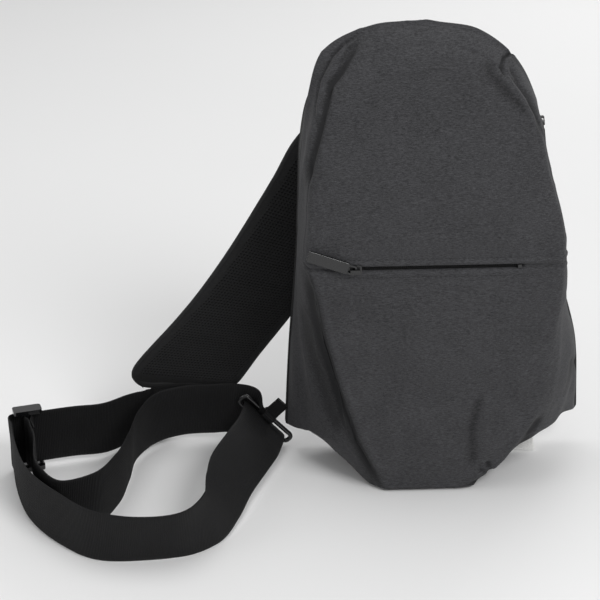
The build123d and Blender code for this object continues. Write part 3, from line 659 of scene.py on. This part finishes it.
def shape_shell(shell):
    """Sculpts folds, ripples and seams, and stores the folds' depth as painted shade that darkens the
    fabric's colour in the creases.
    """
    points = coordinates(shell)
    outward = normals(shell)
    view = seen(points)
    creases = np.zeros(len(points))
    for entry in FOLDS:
        creases += fold(points, view, *entry)
    height = FOLD_STRENGTH * creases
    for entry in SOFT_FOLDS:
        height += fold(points, view, *entry)
    x, y, z = points.T
    calm = ease(np.abs(z - WAIST), 3, 16) * ease(z, 3, 25) * (1 - 0.6 * ease(y, 14, 24))
    height += calm * (0.9 * ripples(points, 3, 46) + 0.3 * ripples(points, 5, 19))
    crumple = (1 - np.abs(ripples(points, 11, 30, 7))) ** 4
    height += 0.5 * calm * crumple
    height += zip_groove(points)
    gusset = ease(z, WAIST + 4, WAIST + 14)
    arch = np.hypot(x - ARCH_CENTRE[0], z - ARCH_CENTRE[2])
    seam = np.exp(-((y - depth_at((-40, -10, -31), z)) / 1.1) ** 2) * gusset * (arch > 60)
    height -= 0.9 * seam * (y < 0)
    back_edge = np.exp(-((y - 22.0) / 1.3) ** 2) * gusset
    height -= 0.7 * back_edge
    points = points + outward * height[:, None]
    points[:, 2] = np.maximum(points[:, 2], 0.2)
    move_to(shell, points)
    # Painted shade: the main folds' valley depth, which darkens the fabric's colour along the creases.
    painted_crease_shade = shell.data.attributes.new("painted_crease_shade", "FLOAT", "POINT")
    depth = np.clip(-creases / PAINTED_SHADE_DEPTH, 0, 1)
    painted_crease_shade.data.foreach_set("value", depth.astype(np.float32))


shell = make_shell()
shape_shell(shell)
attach(shell, "bag")
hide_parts("front_panel_upper", "front_panel_lower", "front_gusset",
            "side_panel_left", "side_panel_right", "bottom_panel")


SHELL_FRONT, SHELL_BACK = -51.3, 42.0
LINING_FRONT, LINING_BACK = -42.5, 40.5
LINING_INSET = 6.0
DIVIDER_DEPTH = -26.5


def make_lining():
    """Lining just inside the shell; the front cap is the pocket's face lining."""
    rings = shell_points(LINING_INSET, 6.0)[:, ::3]
    share = (rings[..., 1] - SHELL_FRONT) / (SHELL_BACK - SHELL_FRONT)
    rings[..., 1] = LINING_FRONT + (LINING_BACK - LINING_FRONT) * share
    cap = cap_of(ring_of(0, LINING_INSET + 1.0), lambda z, across: 0 * z)[::4, ::4]
    cap[..., 1] += LINING_FRONT - SHELL_FRONT
    rows, around = rings.shape[:2]
    points = np.vstack([rings.reshape(-1, 3), cap.reshape(-1, 3)])
    points[:, 2] = np.maximum(points[:, 2], 3.5)
    points[:, 1] += 0.4 * ripples(points, 41, 30)
    faces = np.vstack([grid(rows, around, wrap_columns=True),
                       grid(cap.shape[0], cap.shape[1], start=rows * around)])
    return build("lining_bag", points, faces, "lining_fabric")


def make_divider():
    """Back wall of the front pocket, hung from the zip's level to the base."""
    wall = cap_of(ring_of(DIVIDER_LOOP, 9.0), lambda z, across: 0 * z)[::4, ::4]
    wall = wall[(wall[:, 0, 2] > 6) & (wall[:, 0, 2] < WAIST)]
    wall[..., 1] = DIVIDER_DEPTH
    wall[..., 1] += 0.6 * ripples(wall.reshape(-1, 3), 43, 40).reshape(wall.shape[:2])
    piece = build("divider_wall", wall.reshape(-1, 3), grid(*wall.shape[:2]), "lining_fabric")
    thicken(piece, 0.8)
    return piece


lining = make_lining()
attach(lining, "bag")
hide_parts("main_lining")
divider = make_divider()
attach(divider, "bag")
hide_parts("pocket_divider")


def nearest_on(piece, places):
    """Closest surface points of a piece."""
    tree = KDTree(len(piece.data.vertices))
    for i, v in enumerate(piece.data.vertices):
        tree.insert(v.co, i)
    tree.balance()
    return np.array([tree.find(Vector(place * MM))[0] for place in places]) / MM


# ------------------------------------------------------------------ back
EDGE_POINTS = 15.5
PAD_TOP_EDGE = 306.0


def make_back():
    """Padded back: cloth edge, then a raised mesh pad with two sewn channels."""
    ring = ring_of(BACK_LOOP)
    rows = cap_of(ring, lambda z, across: 0 * z)
    flat = rows.reshape(-1, 3)
    tree = KDTree(len(ring))
    for i, p in enumerate(ring):
        tree.insert(Vector(p), i)
    tree.balance()
    edge = np.array([tree.find(Vector(p))[2] for p in flat])
    pad = ease(edge, 17, 27)
    groove = np.exp(-((edge - EDGE_POINTS) / 1.5) ** 2)
    x, z = flat[:, 0], flat[:, 2]
    channels = np.exp(-((x - 45 - 0.08 * (z - 150)) / 3.2) ** 2)
    channels += np.exp(-((x + 42 - 0.02 * (z - 150)) / 3.2) ** 2)
    channels = channels * ease(z, 40, 70) * (1 - ease(z, 255, 285)) * pad
    upper = ease(z, 296, 314)
    height = 43.3 + 2.6 * pad * (1 - upper) - 0.9 * groove - 2.2 * channels
    height += 0.35 * ripples(flat, 21, 26) * pad * (1 - upper)
    flat[:, 1] = height
    faces = grid(rows.shape[0], rows.shape[1])[:, ::-1]
    back = build("back_panel", flat, faces, "air_mesh", material=MESH_BACK, weld=0.02)
    back.data.materials.append(MATERIALS["back_fabric"])
    centres = np.empty(len(back.data.polygons) * 3)
    back.data.polygons.foreach_get("center", centres)
    spots = centres.reshape(-1, 3) / MM
    plain = [(tree.find(Vector((p[0], 42.0, p[2])))[2] < EDGE_POINTS) or p[2] > PAD_TOP_EDGE for p in spots]
    back.data.polygons.foreach_set("material_index", np.array(plain, np.int32))
    thicken(back, 1.2)
    return back


back = make_back()
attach(back, "bag")
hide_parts("back_cover", "back_mesh_pad")


# ------------------------------------------------------------------ tubes, tapes and stitches
def frames_along(path, closed=False):
    """Unit tangents of a path."""
    if closed:
        ahead = np.roll(path, -1, 0) - np.roll(path, 1, 0)
    else:
        ahead = np.gradient(path, axis=0)
    return ahead / np.linalg.norm(ahead, axis=1)[:, None]


def even(path, spacing, closed=False):
    """Path points resampled at an even spacing."""
    path = np.asarray(path, float)
    if closed:
        path = np.vstack([path, path[:1]])
    run = run_along(path)
    count = max(2, int(round(run[-1] / spacing)) + 1)
    at = np.linspace(0, run[-1], count)
    if closed:
        at = at[:-1]
    return read_path(at, run, path)


def sweep(name, path, side, profile, slot, closed=False):
    """Closed section swept along a path; side gives the section's first axis."""
    tangent = frames_along(path, closed)
    side = side - tangent * np.sum(side * tangent, axis=1)[:, None]
    side /= np.linalg.norm(side, axis=1)[:, None]
    up = np.cross(tangent, side)
    points = (path[:, None] + side[:, None] * profile[None, :, :1] + up[:, None] * profile[None, :, 1:2])
    rows, columns = points.shape[:2]
    faces = [list(f) for f in grid(rows, columns, wrap_rows=closed, wrap_columns=True)]
    if not closed:
        faces.append(list(range(columns))[::-1])
        faces.append(list(range((rows - 1) * columns, rows * columns)))
    return build(name, points.reshape(-1, 3), faces, slot)


def rounded(width, height, power=3.0, count=20):
    """Section with rounded ends: width along the first axis, height along the second."""
    angle = np.linspace(0, 2 * math.pi, count, endpoint=False)
    c, s = np.cos(angle), np.sin(angle)
    return np.column_stack([np.sign(c) * np.abs(c) ** (2 / power) * width / 2,
                            np.sign(s) * np.abs(s) ** (2 / power) * height / 2])


def make_back_binding():
    """Folded tape over the seam round the back; also returns its path for the stitches."""
    ring = ring_of(BACK_LOOP)
    path = ring + level_unit(BAG_MIDDLE - ring) * 2.6
    path[:, 1] = 43.6
    path[:, 2] = np.maximum(path[:, 2], 2.2)
    path = even(path, 1.2, closed=True)
    side = (BAG_MIDDLE - path) * np.array([1.0, 0.0, 1.0])
    path[:, 1] += 0.25 * ripples(path, 8, 12)
    section = rounded(7.0, 2.6, 3.0, 18)
    return sweep("back_edge_binding", path, side, section, "binding_tape", closed=True), path


binding, binding_path = make_back_binding()
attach(binding, "bag")
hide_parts("back_binding")


def stitch_mesh(name, runs, slot="body_fabric", length=2.5, gap=1.1, thickness=0.42):
    """Rows of separate stitches; each run is (path, normals)."""
    points, faces = [], []
    for path, out in runs:
        path = np.asarray(path, float)
        run = run_along(path)
        at = np.arange(length / 2, run[-1] - length / 2, length + gap)
        for middle in at:
            spots = middle + length * np.array([-0.5, -0.3, 0.0, 0.3, 0.5])
            line = read_path(spots, run, path)
            normal = np.array([np.interp(middle, run, out[:, i]) for i in range(3)])
            along = line[-1] - line[0]
            along /= np.linalg.norm(along)
            normal -= along * (normal @ along)
            normal /= np.linalg.norm(normal)
            side = np.cross(along, normal)
            start = len(points)
            for p, size, lift in zip(line, (0.2, 0.85, 1, 0.85, 0.2), (-0.35, 0.05, 0.2, 0.05, -0.35)):
                for k in range(6):
                    a = k * math.pi / 3
                    points.append(p + normal * (lift + thickness / 2 * size * math.sin(a))
                                  + side * (thickness / 2 * size * math.cos(a)))
            faces += [list(f) for f in grid(5, 6, start=start, wrap_columns=True)]
            faces.append([start + k for k in range(6)][::-1])
            faces.append([start + 24 + k for k in range(6)])
    return build(name, points, faces, slot, material=THREAD)


def coil_mesh(name, path, out, pitch=1.5, width=1.35, height=0.8, wire=0.36):
    """Two interlocking spirals along a path, as a coil zip has."""
    path = even(path, 0.25)
    run = run_along(path)
    turns = run[-1] / pitch
    section = [(math.cos(a), math.sin(a)) for a in np.arange(6) * math.pi / 3]
    points, faces = [], []
    for hand, phase in ((1, 0.0), (-1, 0.5)):
        t = np.linspace(0, turns, int(turns * 14))
        centre = read_path(t * pitch, run, path)
        normal = out(centre)
        tangent = frames_along(centre)
        side = np.cross(tangent, normal)
        angle = 2 * math.pi * (t + phase) * hand
        line = centre + side * (hand * width * 0.62 + width * np.cos(angle)[:, None]) \
            + normal * (height * np.sin(angle)[:, None])
        ahead = frames_along(line)
        first = np.cross(ahead, tangent + 0.01)
        first /= np.linalg.norm(first, axis=1)[:, None]
        second = np.cross(ahead, first)
        start = len(points)
        block = np.stack([line + wire * (first * c + second * s) for c, s in section], 1)
        points += list(block.reshape(-1, 3))
        faces += [list(f) for f in grid(len(line), 6, start=start, wrap_columns=True)]
    return build(name, points, faces, "zip_coil")


def pocket_coil():
    path = np.array([(x, -48.4, WAIST) for x in np.linspace(ZIP_LEFT + 1.2, ZIP_RIGHT - 1.2, 40)])
    return coil_mesh("pocket_coil", path, lambda c: np.tile([0.0, -1.0, 0.0], (len(c), 1)))


piece = pocket_coil()
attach(piece, "bag")
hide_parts("pocket_zip_coil")


def arch_out(points):
    """Outward directions round the arch: from its centre above it, level below it."""
    away = points - ARCH_CENTRE
    away[:, 1] = 0
    away[points[:, 2] < ARCH_CENTRE[2], 2] = 0
    return away / np.linalg.norm(away, axis=1)[:, None]


ARCH_POINTS = 340


def arch_path(radius, y, low=WAIST):
    """Line round the rear band, from the left waist over the top to the right waist."""
    line = ring_of(BAND_LOOP)[:2 * len(SIDES) - 1]
    line = line[line[:, 2] >= low]
    line = even(line, 0.5)
    at = np.linspace(0, len(line) - 1, ARCH_POINTS)
    line = read_path(at, np.arange(len(line)), line)
    line = line + arch_out(line) * radius
    line[:, 1] = y
    return line


def make_zip_band():
    """Both tapes of the main zip as one band with the coil's trough in the middle."""
    rows = []
    for y, drop in ((23.2, 1.6), (24.4, 0.5), (26.5, 0.2), (29.0, 0.15), (30.6, 0.3), (31.4, 1.0),
                    (32.0, 1.7), (33.0, 1.9), (34.0, 1.7), (34.6, 1.0), (35.4, 0.3), (37.0, 0.15),
                    (39.5, 0.2), (41.6, 0.5), (43.2, 1.6)):
        rows.append(arch_path(-drop, y))
    rows = np.stack(rows)
    band = build("main_zip_tapes", rows.reshape(-1, 3), grid(*rows.shape[:2]), "zip_tape")
    thicken(band, 0.8, 1.0)
    return band


band = make_zip_band()
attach(band, "bag")
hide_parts("main_zip_tape_front", "main_zip_tape_back")


piece = coil_mesh("main_coil", arch_path(-0.5, 33.0, WAIST + 2), arch_out)
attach(piece, "bag")
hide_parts("main_zip_coil")


# ------------------------------------------------------------------ strap pad
PAD_TOP = np.array([6.05, 52.5, 352.58])
DOWN = np.array([-0.568, 0, -0.823])
ASIDE = np.array([-0.823, 0, 0.568])
PAD_LEFT = [(-14, 21), (0, 23), (40, 23.5), (75, 30), (100, 44), (112, 49), (125, 50.3), (163, 46),
            (195, 43.3), (228, 40.8), (258, 39.6), (290, 39.6), (322, 41.7), (349, 44.7),
            (371, 46.7), (380, 46.6), (384, 45), (386.5, 42), (388, 37), (388.6, 31)]
PAD_RIGHT = [(-14, -21), (0, -23), (40, -23.5), (75, -30), (105, -42), (125, -42), (160, -40),
             (200, -38), (252, -36.4), (286, -35.5), (307, -34.9), (330, -35.2), (343.3, -35.2)]
PAD_START = -14.0
PAD_LEFT_END, PAD_RIGHT_END = 388.6, 343.3
PAD_SEAM = 6.5
DIMPLE_PITCH = (2.7, 2.4)


def pad_edges(v):
    """Left and right edge points at shares v of the pad's length."""
    result = []
    for line, end in ((PAD_LEFT, PAD_LEFT_END), (PAD_RIGHT, PAD_RIGHT_END)):
        line = np.array(line, float)
        s = PAD_START + (end - PAD_START) * v
        a = smooth_curve(line[:, 0], line[:, 1:], s)[:, 0]
        depth = PAD_TOP[1] + 11.5 * s / 384.0
        point = PAD_TOP + DOWN * s[:, None] + ASIDE * a[:, None]
        point[:, 1] = depth
        result.append(point)
    return result


def make_pad():
    """Foam pad with a mesh face: rows of real dimples, thin sewn edges, a puffy middle."""
    rows, columns = 470, 104
    v = np.linspace(0, 1, rows)
    u = np.linspace(0, 1, columns)
    left, right = pad_edges(v)
    flat = left[:, None] + (right - left)[:, None] * u[None, :, None]
    width = np.linalg.norm(right - left, axis=1)
    along = v * (PAD_LEFT_END + PAD_RIGHT_END) / 2
    from_left = u[None, :] * width[:, None]
    from_right = (1 - u[None, :]) * width[:, None]
    to_end = (1 - v[:, None]) * 366 + 0 * from_left
    edge = np.minimum(np.minimum(from_left, from_right), to_end)
    puff = ease(edge, 0, 9) ** 0.7
    thin = ease(along, 20, 60)[:, None]
    half = 1.1 + 3.3 * puff * (0.35 + 0.65 * thin)
    bend = -2.2 * np.sin(math.pi * np.clip(v, 0, 1))[:, None] * (1 - (2 * u[None, :] - 1) ** 2)
    across_position = from_left + 0.12 * along[:, None]
    holes = 0.5 + 0.5 * np.cos(2 * math.pi * across_position / DIMPLE_PITCH[0])
    holes = holes * (0.5 + 0.5 * np.cos(2 * math.pi * along[:, None] / DIMPLE_PITCH[1]))
    in_mesh = ease(edge, PAD_SEAM, PAD_SEAM + 2)
    dimple = 0.75 * ease(holes, 0.35, 0.85) * in_mesh
    lumps = 0.5 * ripples(flat.reshape(-1, 3), 31, 28).reshape(rows, columns) * puff
    out = np.array([0.0, -1.0, 0.0])
    face = flat + out * (half - bend + lumps - dimple)[..., None]
    rear = flat - out * (half + bend * 0.6)[..., None]
    points = np.vstack([face.reshape(-1, 3), rear.reshape(-1, 3)])
    count = rows * columns
    faces = [list(f) for f in grid(rows, columns)]
    faces += [list(f)[::-1] for f in grid(rows, columns, start=count)]
    index = np.arange(count).reshape(rows, columns)
    border = np.concatenate([index[0], index[1:, -1], index[-1, -2::-1], index[-2:0:-1, 0]])
    following = np.roll(border, -1)
    faces += [[b, a, a + count, b + count] for a, b in zip(border, following)]
    down_position = np.broadcast_to(along[:, None], across_position.shape)
    uv = np.stack([across_position, down_position], -1).reshape(-1, 2)
    piece = build("strap_pad", points, faces, "air_mesh", uv=np.vstack([uv, uv]))
    piece.data.materials.append(MATERIALS["back_fabric"])
    kind = np.ones(len(faces), np.int32)
    centre_edge = edge[:-1, :-1].reshape(-1)
    kind[:len(centre_edge)] = centre_edge < PAD_SEAM
    piece.data.polygons.foreach_set("material_index", kind)
    return piece, left, right


pad, pad_left, pad_right = make_pad()


PAD_CORNER_ROUNDS = 36


def make_pad_binding():
    """Tape folded round the pad's edges and its level end."""
    path = even(np.vstack([pad_left, pad_right[::-1]]), 1.2)
    for _ in range(PAD_CORNER_ROUNDS):
        mean = path.copy()
        mean[1:-1] = (path[:-2] + path[2:]) / 2
        path = path + (mean - path) * 0.5
    inward = (PAD_TOP + DOWN * 200 - path) * np.array([1.0, 0.0, 1.0])
    side = np.cross(frames_along(path), np.array([0.0, 1.0, 0.0]))
    side *= np.sign(np.sum(side * inward, axis=1))[:, None]
    path = path + side * 2.0
    path[:, 1] += 0.25 * ripples(path, 17, 11)
    return sweep("pad_binding", path, side, rounded(6.6, 3.6, 2.6, 18), "binding_tape")


pad_binding = make_pad_binding()
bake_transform(pad)
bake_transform(pad_binding)
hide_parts("strap_foam", "strap_mesh", "strap_fabric", "strap_root")
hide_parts("strap_binding")


# ------------------------------------------------------------------ webbing
RING_CENTRE = np.array([-137.0, 48.0, 22.0])
LONG = np.array([-0.72, 0.1, 0.69])
LONG /= np.linalg.norm(LONG)
THROUGH = np.array([0.28, 0.96, 0.0])
THROUGH = THROUGH - LONG * (THROUGH @ LONG)
THROUGH /= np.linalg.norm(THROUGH)
OVER = np.cross(THROUGH, LONG)
RING_WRAP = 3.45
SLIDE_HEADING = math.radians(194.8)
SLIDE_ALONG = np.array([math.cos(SLIDE_HEADING), math.sin(SLIDE_HEADING), 0])
SLIDE_BEHIND = np.array([SLIDE_ALONG[1], -SLIDE_ALONG[0], 0])
SLIDE_CENTRE = np.array([-336.0, 16.0, 0])
UPRIGHT = np.array([0.0, 0.0, 1.0])
WEB_WIDTH = 48.0
WEB_THICKNESS = 1.9
RIB_PITCH = 1.45


def by_slide(along, behind, z=29.0):
    point = SLIDE_CENTRE + SLIDE_ALONG * along + SLIDE_BEHIND * behind
    return np.array([point[0], point[1], z])


def lean(x=0.0, y=0.0):
    """Upper-edge direction of webbing that leans by x and y for each unit of height."""
    up = np.array([x, y, 1.0])
    return up / np.linalg.norm(up)


def webbing(name, stations, step=0.42, width=WEB_WIDTH, columns=26, thickness=WEB_THICKNESS):
    """Ribbed strap through (centre, upper-edge direction) stations; also returns its length."""
    centres = np.array([s[0] for s in stations], float)
    ups = np.array([s[1] for s in stations], float)
    knots = run_along(centres)
    fine = np.linspace(0, knots[-1], 6000)
    line = smooth_curve(knots, centres, fine)
    edge = smooth_curve(knots, ups, fine)
    run = run_along(line)
    count = int(run[-1] / step)
    s = np.linspace(0, run[-1], count)
    line = read_path(s, run, line)
    edge = read_path(s, run, edge)
    tangent = frames_along(line)
    edge -= tangent * np.sum(edge * tangent, axis=1)[:, None]
    edge /= np.linalg.norm(edge, axis=1)[:, None]
    normal = np.cross(tangent, edge)
    c = np.linspace(-1, 1, columns)
    c = np.sign(c) * (1 - (1 - np.abs(c)) ** 1.25)
    swell = (1 - np.abs(c) ** 10) ** 0.5 * 0.92 + 0.08
    rib = 1 + 0.16 * np.cos(2 * math.pi * s / RIB_PITCH)
    half = thickness / 2 * swell[None, :] * rib[:, None]
    middle = line[:, None] + edge[:, None] * (c * width / 2)[None, :, None]
    front = middle + normal[:, None] * half[..., None]
    rear = middle - normal[:, None] * half[..., None]
    ring = np.concatenate([front, rear[:, ::-1]], axis=1)
    rows, around = ring.shape[:2]
    faces = [list(f) for f in grid(rows, around, wrap_columns=True)]
    for start, turn in ((0, 1), ((rows - 1) * around, -1)):
        for k in range(columns - 1):
            quad = [start + k, start + k + 1, start + around - 2 - k, start + around - 1 - k]
            faces.append(quad[::turn])
    place = np.concatenate([c, c[::-1]]) * width / 2
    uv = np.stack(np.broadcast_arrays(s[:, None], place[None, :]), -1).reshape(-1, 2)
    return build(name, ring.reshape(-1, 3), faces, "webbing", uv=uv), run[-1]


def outer_stations():
    """Out of the pad's end, folded to the left, through the slide and round to the ring."""
    pivot = np.array([-234.8, 64.0, 51.0])
    stations = [(np.array([-207.8, 62.5, 84.0]), np.array([-1.0, 0, 0])),
                (np.array([-207.8, 63.5, 66.0]), np.array([-1.0, 0, 0]))]
    for degrees in (0, 18, 36, 54, 72, 90):
        a = math.radians(degrees)
        out = np.array([math.cos(a), 0, -math.sin(a)])
        stations.append((pivot + out * 27 + np.array([0, -0.5 * degrees / 90, 0]), -out))
    stations.append((np.array([-248.8, 56.0, 24.4]), UPRIGHT))
    for along, z in ((-62, 27.5), (-40, 28.8), (-14, 29), (0, 29), (14, 29)):
        stations.append((by_slide(along, 0, z), UPRIGHT))
    for x, y, z, lx, ly in ((-348, 2, 27, 0, 0), (-342, -30, 24.6, 0, 0), (-328, -72, 24, 0, 0),
                            (-303, -108, 24, 0, 0), (-272, -136, 24, 0, -0.12),
                            (-236, -142, 23.6, 0, -0.25), (-204, -136, 23.6, -0.05, -0.25),
                            (-183, -114, 23.8, -0.3, -0.15), (-173, -80, 23.4, -0.65, 0),
                            (-165, -44, 22.6, -0.95, 0), (-151, -6, 22.3, -1.05, 0.1)):
        stations.append((np.array([x, y, z], float), lean(lx, ly)))
    end = RING_CENTRE + OVER * RING_WRAP
    stations.append((end - THROUGH * 24, LONG))
    for degrees in (0, 30, 60, 90):
        a = math.radians(degrees)
        stations.append((RING_CENTRE + (OVER * math.cos(a) + THROUGH * math.sin(a)) * RING_WRAP, LONG))
    return stations


def inner_stations():
    """From the ring back along the inside, then round the slide's middle bar."""
    stations = [(RING_CENTRE + THROUGH * RING_WRAP, LONG)]
    for x, y, z, lx, ly in ((-145, 55.0, 27, -0.75, 0.1), (-159, 56.5, 31, -0.35, 0.03),
                            (-181, 57, 31, -0.15, 0), (-204, 55, 31, 0, 0), (-227, 46, 29.5, 0, 0),
                            (-243, 22, 27, 0.08, 0), (-250, -14, 25.5, 0.05, 0),
                            (-259, -52, 25, 0, 0), (-277, -83, 25, 0, 0),
                            (-301, -91, 25, 0, -0.05), (-320, -68, 26, 0, 0)):
        stations.append((np.array([x, y, z], float), lean(lx, ly)))
    for along, behind in ((0.9, -33), (1.1, -20), (1.2, -10), (2.6, -7), (2.95, -5.4), (2.1, -3.3),
                          (0, -2.45), (-2.1, -3.3), (-2.95, -5.4), (-2.6, -7), (-1.2, -10),
                          (-1.1, -20), (-1.1, -27)):
        stations.append((by_slide(along, behind), UPRIGHT))
    return stations


outer_web, outer_length = webbing("webbing_outer", outer_stations())
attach(outer_web, "strap")
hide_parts("webbing_pad_end", "webbing_outer_run", "webbing_ring_loop")

inner_web, inner_length = webbing("webbing_inner", inner_stations())
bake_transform(inner_web)
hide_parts("webbing_inner_run", "webbing_end_loop")


def tab_stations():
    """Tape from the bag round the ring's wire and back: a closed stadium round one end."""
    far = RING_CENTRE + OVER * 9.0
    root = np.array([-117.6, 44.0, 34.0])
    along = root - far
    along = along - LONG * (along @ LONG)
    reach = np.linalg.norm(along)
    along /= reach
    up = np.cross(LONG, along)
    one_way = [(reach + 5, 0.9), (reach - 2, 0.85), (6, 1.0), (4.0, 1.6), (3.3, 3.2), (1.8, 4.6),
               (0, 5.1), (-2.2, 4.3), (-3.3, 2.0)]
    offsets = one_way + [(a, -b) for a, b in reversed(one_way)]
    return [(far + along * a + up * b, LONG) for a, b in offsets]


tab, tab_length = webbing("anchor_tab_tape", tab_stations(), 0.5, 12.0, 14, 1.4)
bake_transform(tab)
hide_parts("anchor_tab")


# ------------------------------------------------------------------ label and patch
def curved_card(name, low, high, y, bow, slot, thickness):
    """Thin card in the x-z plane that bows in y; bow is (along x, along z)."""
    columns, rows = 28, 24
    x = np.linspace(low[0], high[0], columns)
    z = np.linspace(low[1], high[1], rows)
    gx, gz = np.meshgrid(x, z)
    u = (gx - low[0]) / (high[0] - low[0])
    w = (gz - low[1]) / (high[1] - low[1])
    gy = y + bow[0] * np.sin(math.pi * u) + bow[1] * (1 - w) ** 2
    points = np.stack([gx, gy, gz], -1).reshape(-1, 3)
    piece = build(name, points, grid(rows, columns), slot)
    thicken(piece, thickness, 0.0)
    return piece


def make_label():
    """Blank label sewn under the back's lower edge; it hangs forward until it meets the floor."""
    columns, rows = 28, 26
    u = np.linspace(0, 1, columns)[None, :]
    w = np.linspace(0, 1, rows)[:, None]
    x = 67 + 32 * u + 0 * w
    y = 22 + 23.5 * (1 - (1 - w) ** 1.7) + 0.9 * np.sin(math.pi * u)
    z = 0.7 + 22 * w + 0.8 * np.sin(math.pi * u) * (1 - w)
    piece = build("label_blank", np.stack([x, y, z], -1).reshape(-1, 3), grid(rows, columns), "label")
    thicken(piece, 0.35, 0.0)
    return piece


label = make_label()
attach(label, "bag")
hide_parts("care_label")

patch_low, patch_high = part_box("top_patch")
patch = curved_card("root_patch", (patch_low[0] / MM, patch_low[2] / MM),
                    (patch_high[0] / MM, patch_high[2] / MM), 45.6, (0.6, 0.2), "back_fabric", 2.0)
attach(patch, "bag")
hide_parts("top_patch")


# ------------------------------------------------------------------ stitches
def zip_stitches():
    runs = []
    for offset in (7.6, -7.6):
        path = np.array([(x, -52, WAIST + offset) for x in np.linspace(ZIP_LEFT - 6, ZIP_RIGHT + 6, 60)])
        path[:, 1] = nearest_on(shell, path)[:, 1]
        kernel = np.ones(5) / 5
        path[2:-2, 1] = np.convolve(path[:, 1], kernel, "valid")
        runs.append((path, np.tile([0.0, -1.0, 0.0], (len(path), 1))))
    return runs


def binding_stitches():
    path = binding_path + level_unit(BAG_MIDDLE - binding_path) * 2.0
    path[:, 1] = binding_path[:, 1] + 1.28
    return [(path, np.tile([0.0, 1.0, 0.0], (len(path), 1)))]


bag_thread = stitch_mesh("bag_stitches", zip_stitches() + binding_stitches())
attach(bag_thread, "bag")


def pad_stitches():
    runs = []
    for line, inward in ((pad_left, -1), (pad_right, 1)):
        path = even(line[30:], 2.0) + ASIDE * inward * 4.4
        path[:, 1] -= 2.15
        runs.append((path, np.tile([0.0, -1.0, 0.0], (len(path), 1))))
    return runs


pad_thread = stitch_mesh("pad_stitches", pad_stitches(), "back_fabric")
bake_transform(pad_thread)

# ------------------------------------------------------------------ kept CAD nodes
SLOTS = {
    "pocket_zip_slider": "zip_metal", "pocket_pull_link": "zip_metal", "pocket_zip_stops": "zip_metal",
    "main_zip_slider": "zip_metal", "main_pull_link": "zip_metal",
    "pocket_pull_grip": "pull_grip", "main_pull_grip": "pull_grip",
    "adjuster": "hardware", "strap_ring": "hardware", "slip_pocket": "lining_fabric", "back_foam": "foam",
    "pocket_zip_tape_upper": "zip_tape", "pocket_zip_tape_lower": "zip_tape",
}
for node, name in SLOTS.items():
    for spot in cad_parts[node].material_slots:
        spot.material = MATERIALS[name]


# ------------------------------------------------------------------ floor and light
def make_stage():
    mesh = bpy.data.meshes.new("floor")
    size = 6.0
    low = -0.0008
    mesh.from_pydata([(-size, -size, low), (size, -size, low), (size, size, low), (-size, size, low)],
                     [], [(0, 1, 2, 3)])
    floor = bpy.data.objects.new("floor", mesh)
    bpy.context.scene.collection.objects.link(floor)
    finish = Finish("floor_paper", (0.80, 0.80, 0.80), 0.9)
    finish.tint(finish.noise(3, 2.0), 0.99, 1.01)
    mesh.materials.append(finish.material)


def area_light(name, place, target, size, power):
    data = bpy.data.lights.new(name, "AREA")
    data.shape = "DISK"
    data.size = size
    data.energy = power
    lamp = bpy.data.objects.new(name, data)
    bpy.context.scene.collection.objects.link(lamp)
    lamp.location = place
    lamp.rotation_mode = "QUATERNION"
    lamp.rotation_quaternion = (Vector(target) - Vector(place)).to_track_quat("-Z", "Y")


def make_light():
    world = bpy.data.worlds.new("studio")
    bpy.context.scene.world = world
    world.use_nodes = True
    world.node_tree.nodes["Background"].inputs["Color"].default_value = (1, 1, 1, 1)
    world.node_tree.nodes["Background"].inputs["Strength"].default_value = 0.52
    area_light("key", (0.9, -1.5, 1.7), (-0.05, 0, 0.15), 1.0, 27)
    area_light("top", (-0.3, 0.3, 2.2), (-0.1, 0, 0.1), 1.6, 10)
    area_light("back", (0.8, 1.7, 1.1), (-0.05, 0, 0.15), 1.2, 9)
    area_light("side", (-1.7, -0.7, 0.9), (-0.1, 0, 0.15), 0.9, 3)
    bpy.context.scene.view_settings.view_transform = "Standard"


make_stage()
make_light()
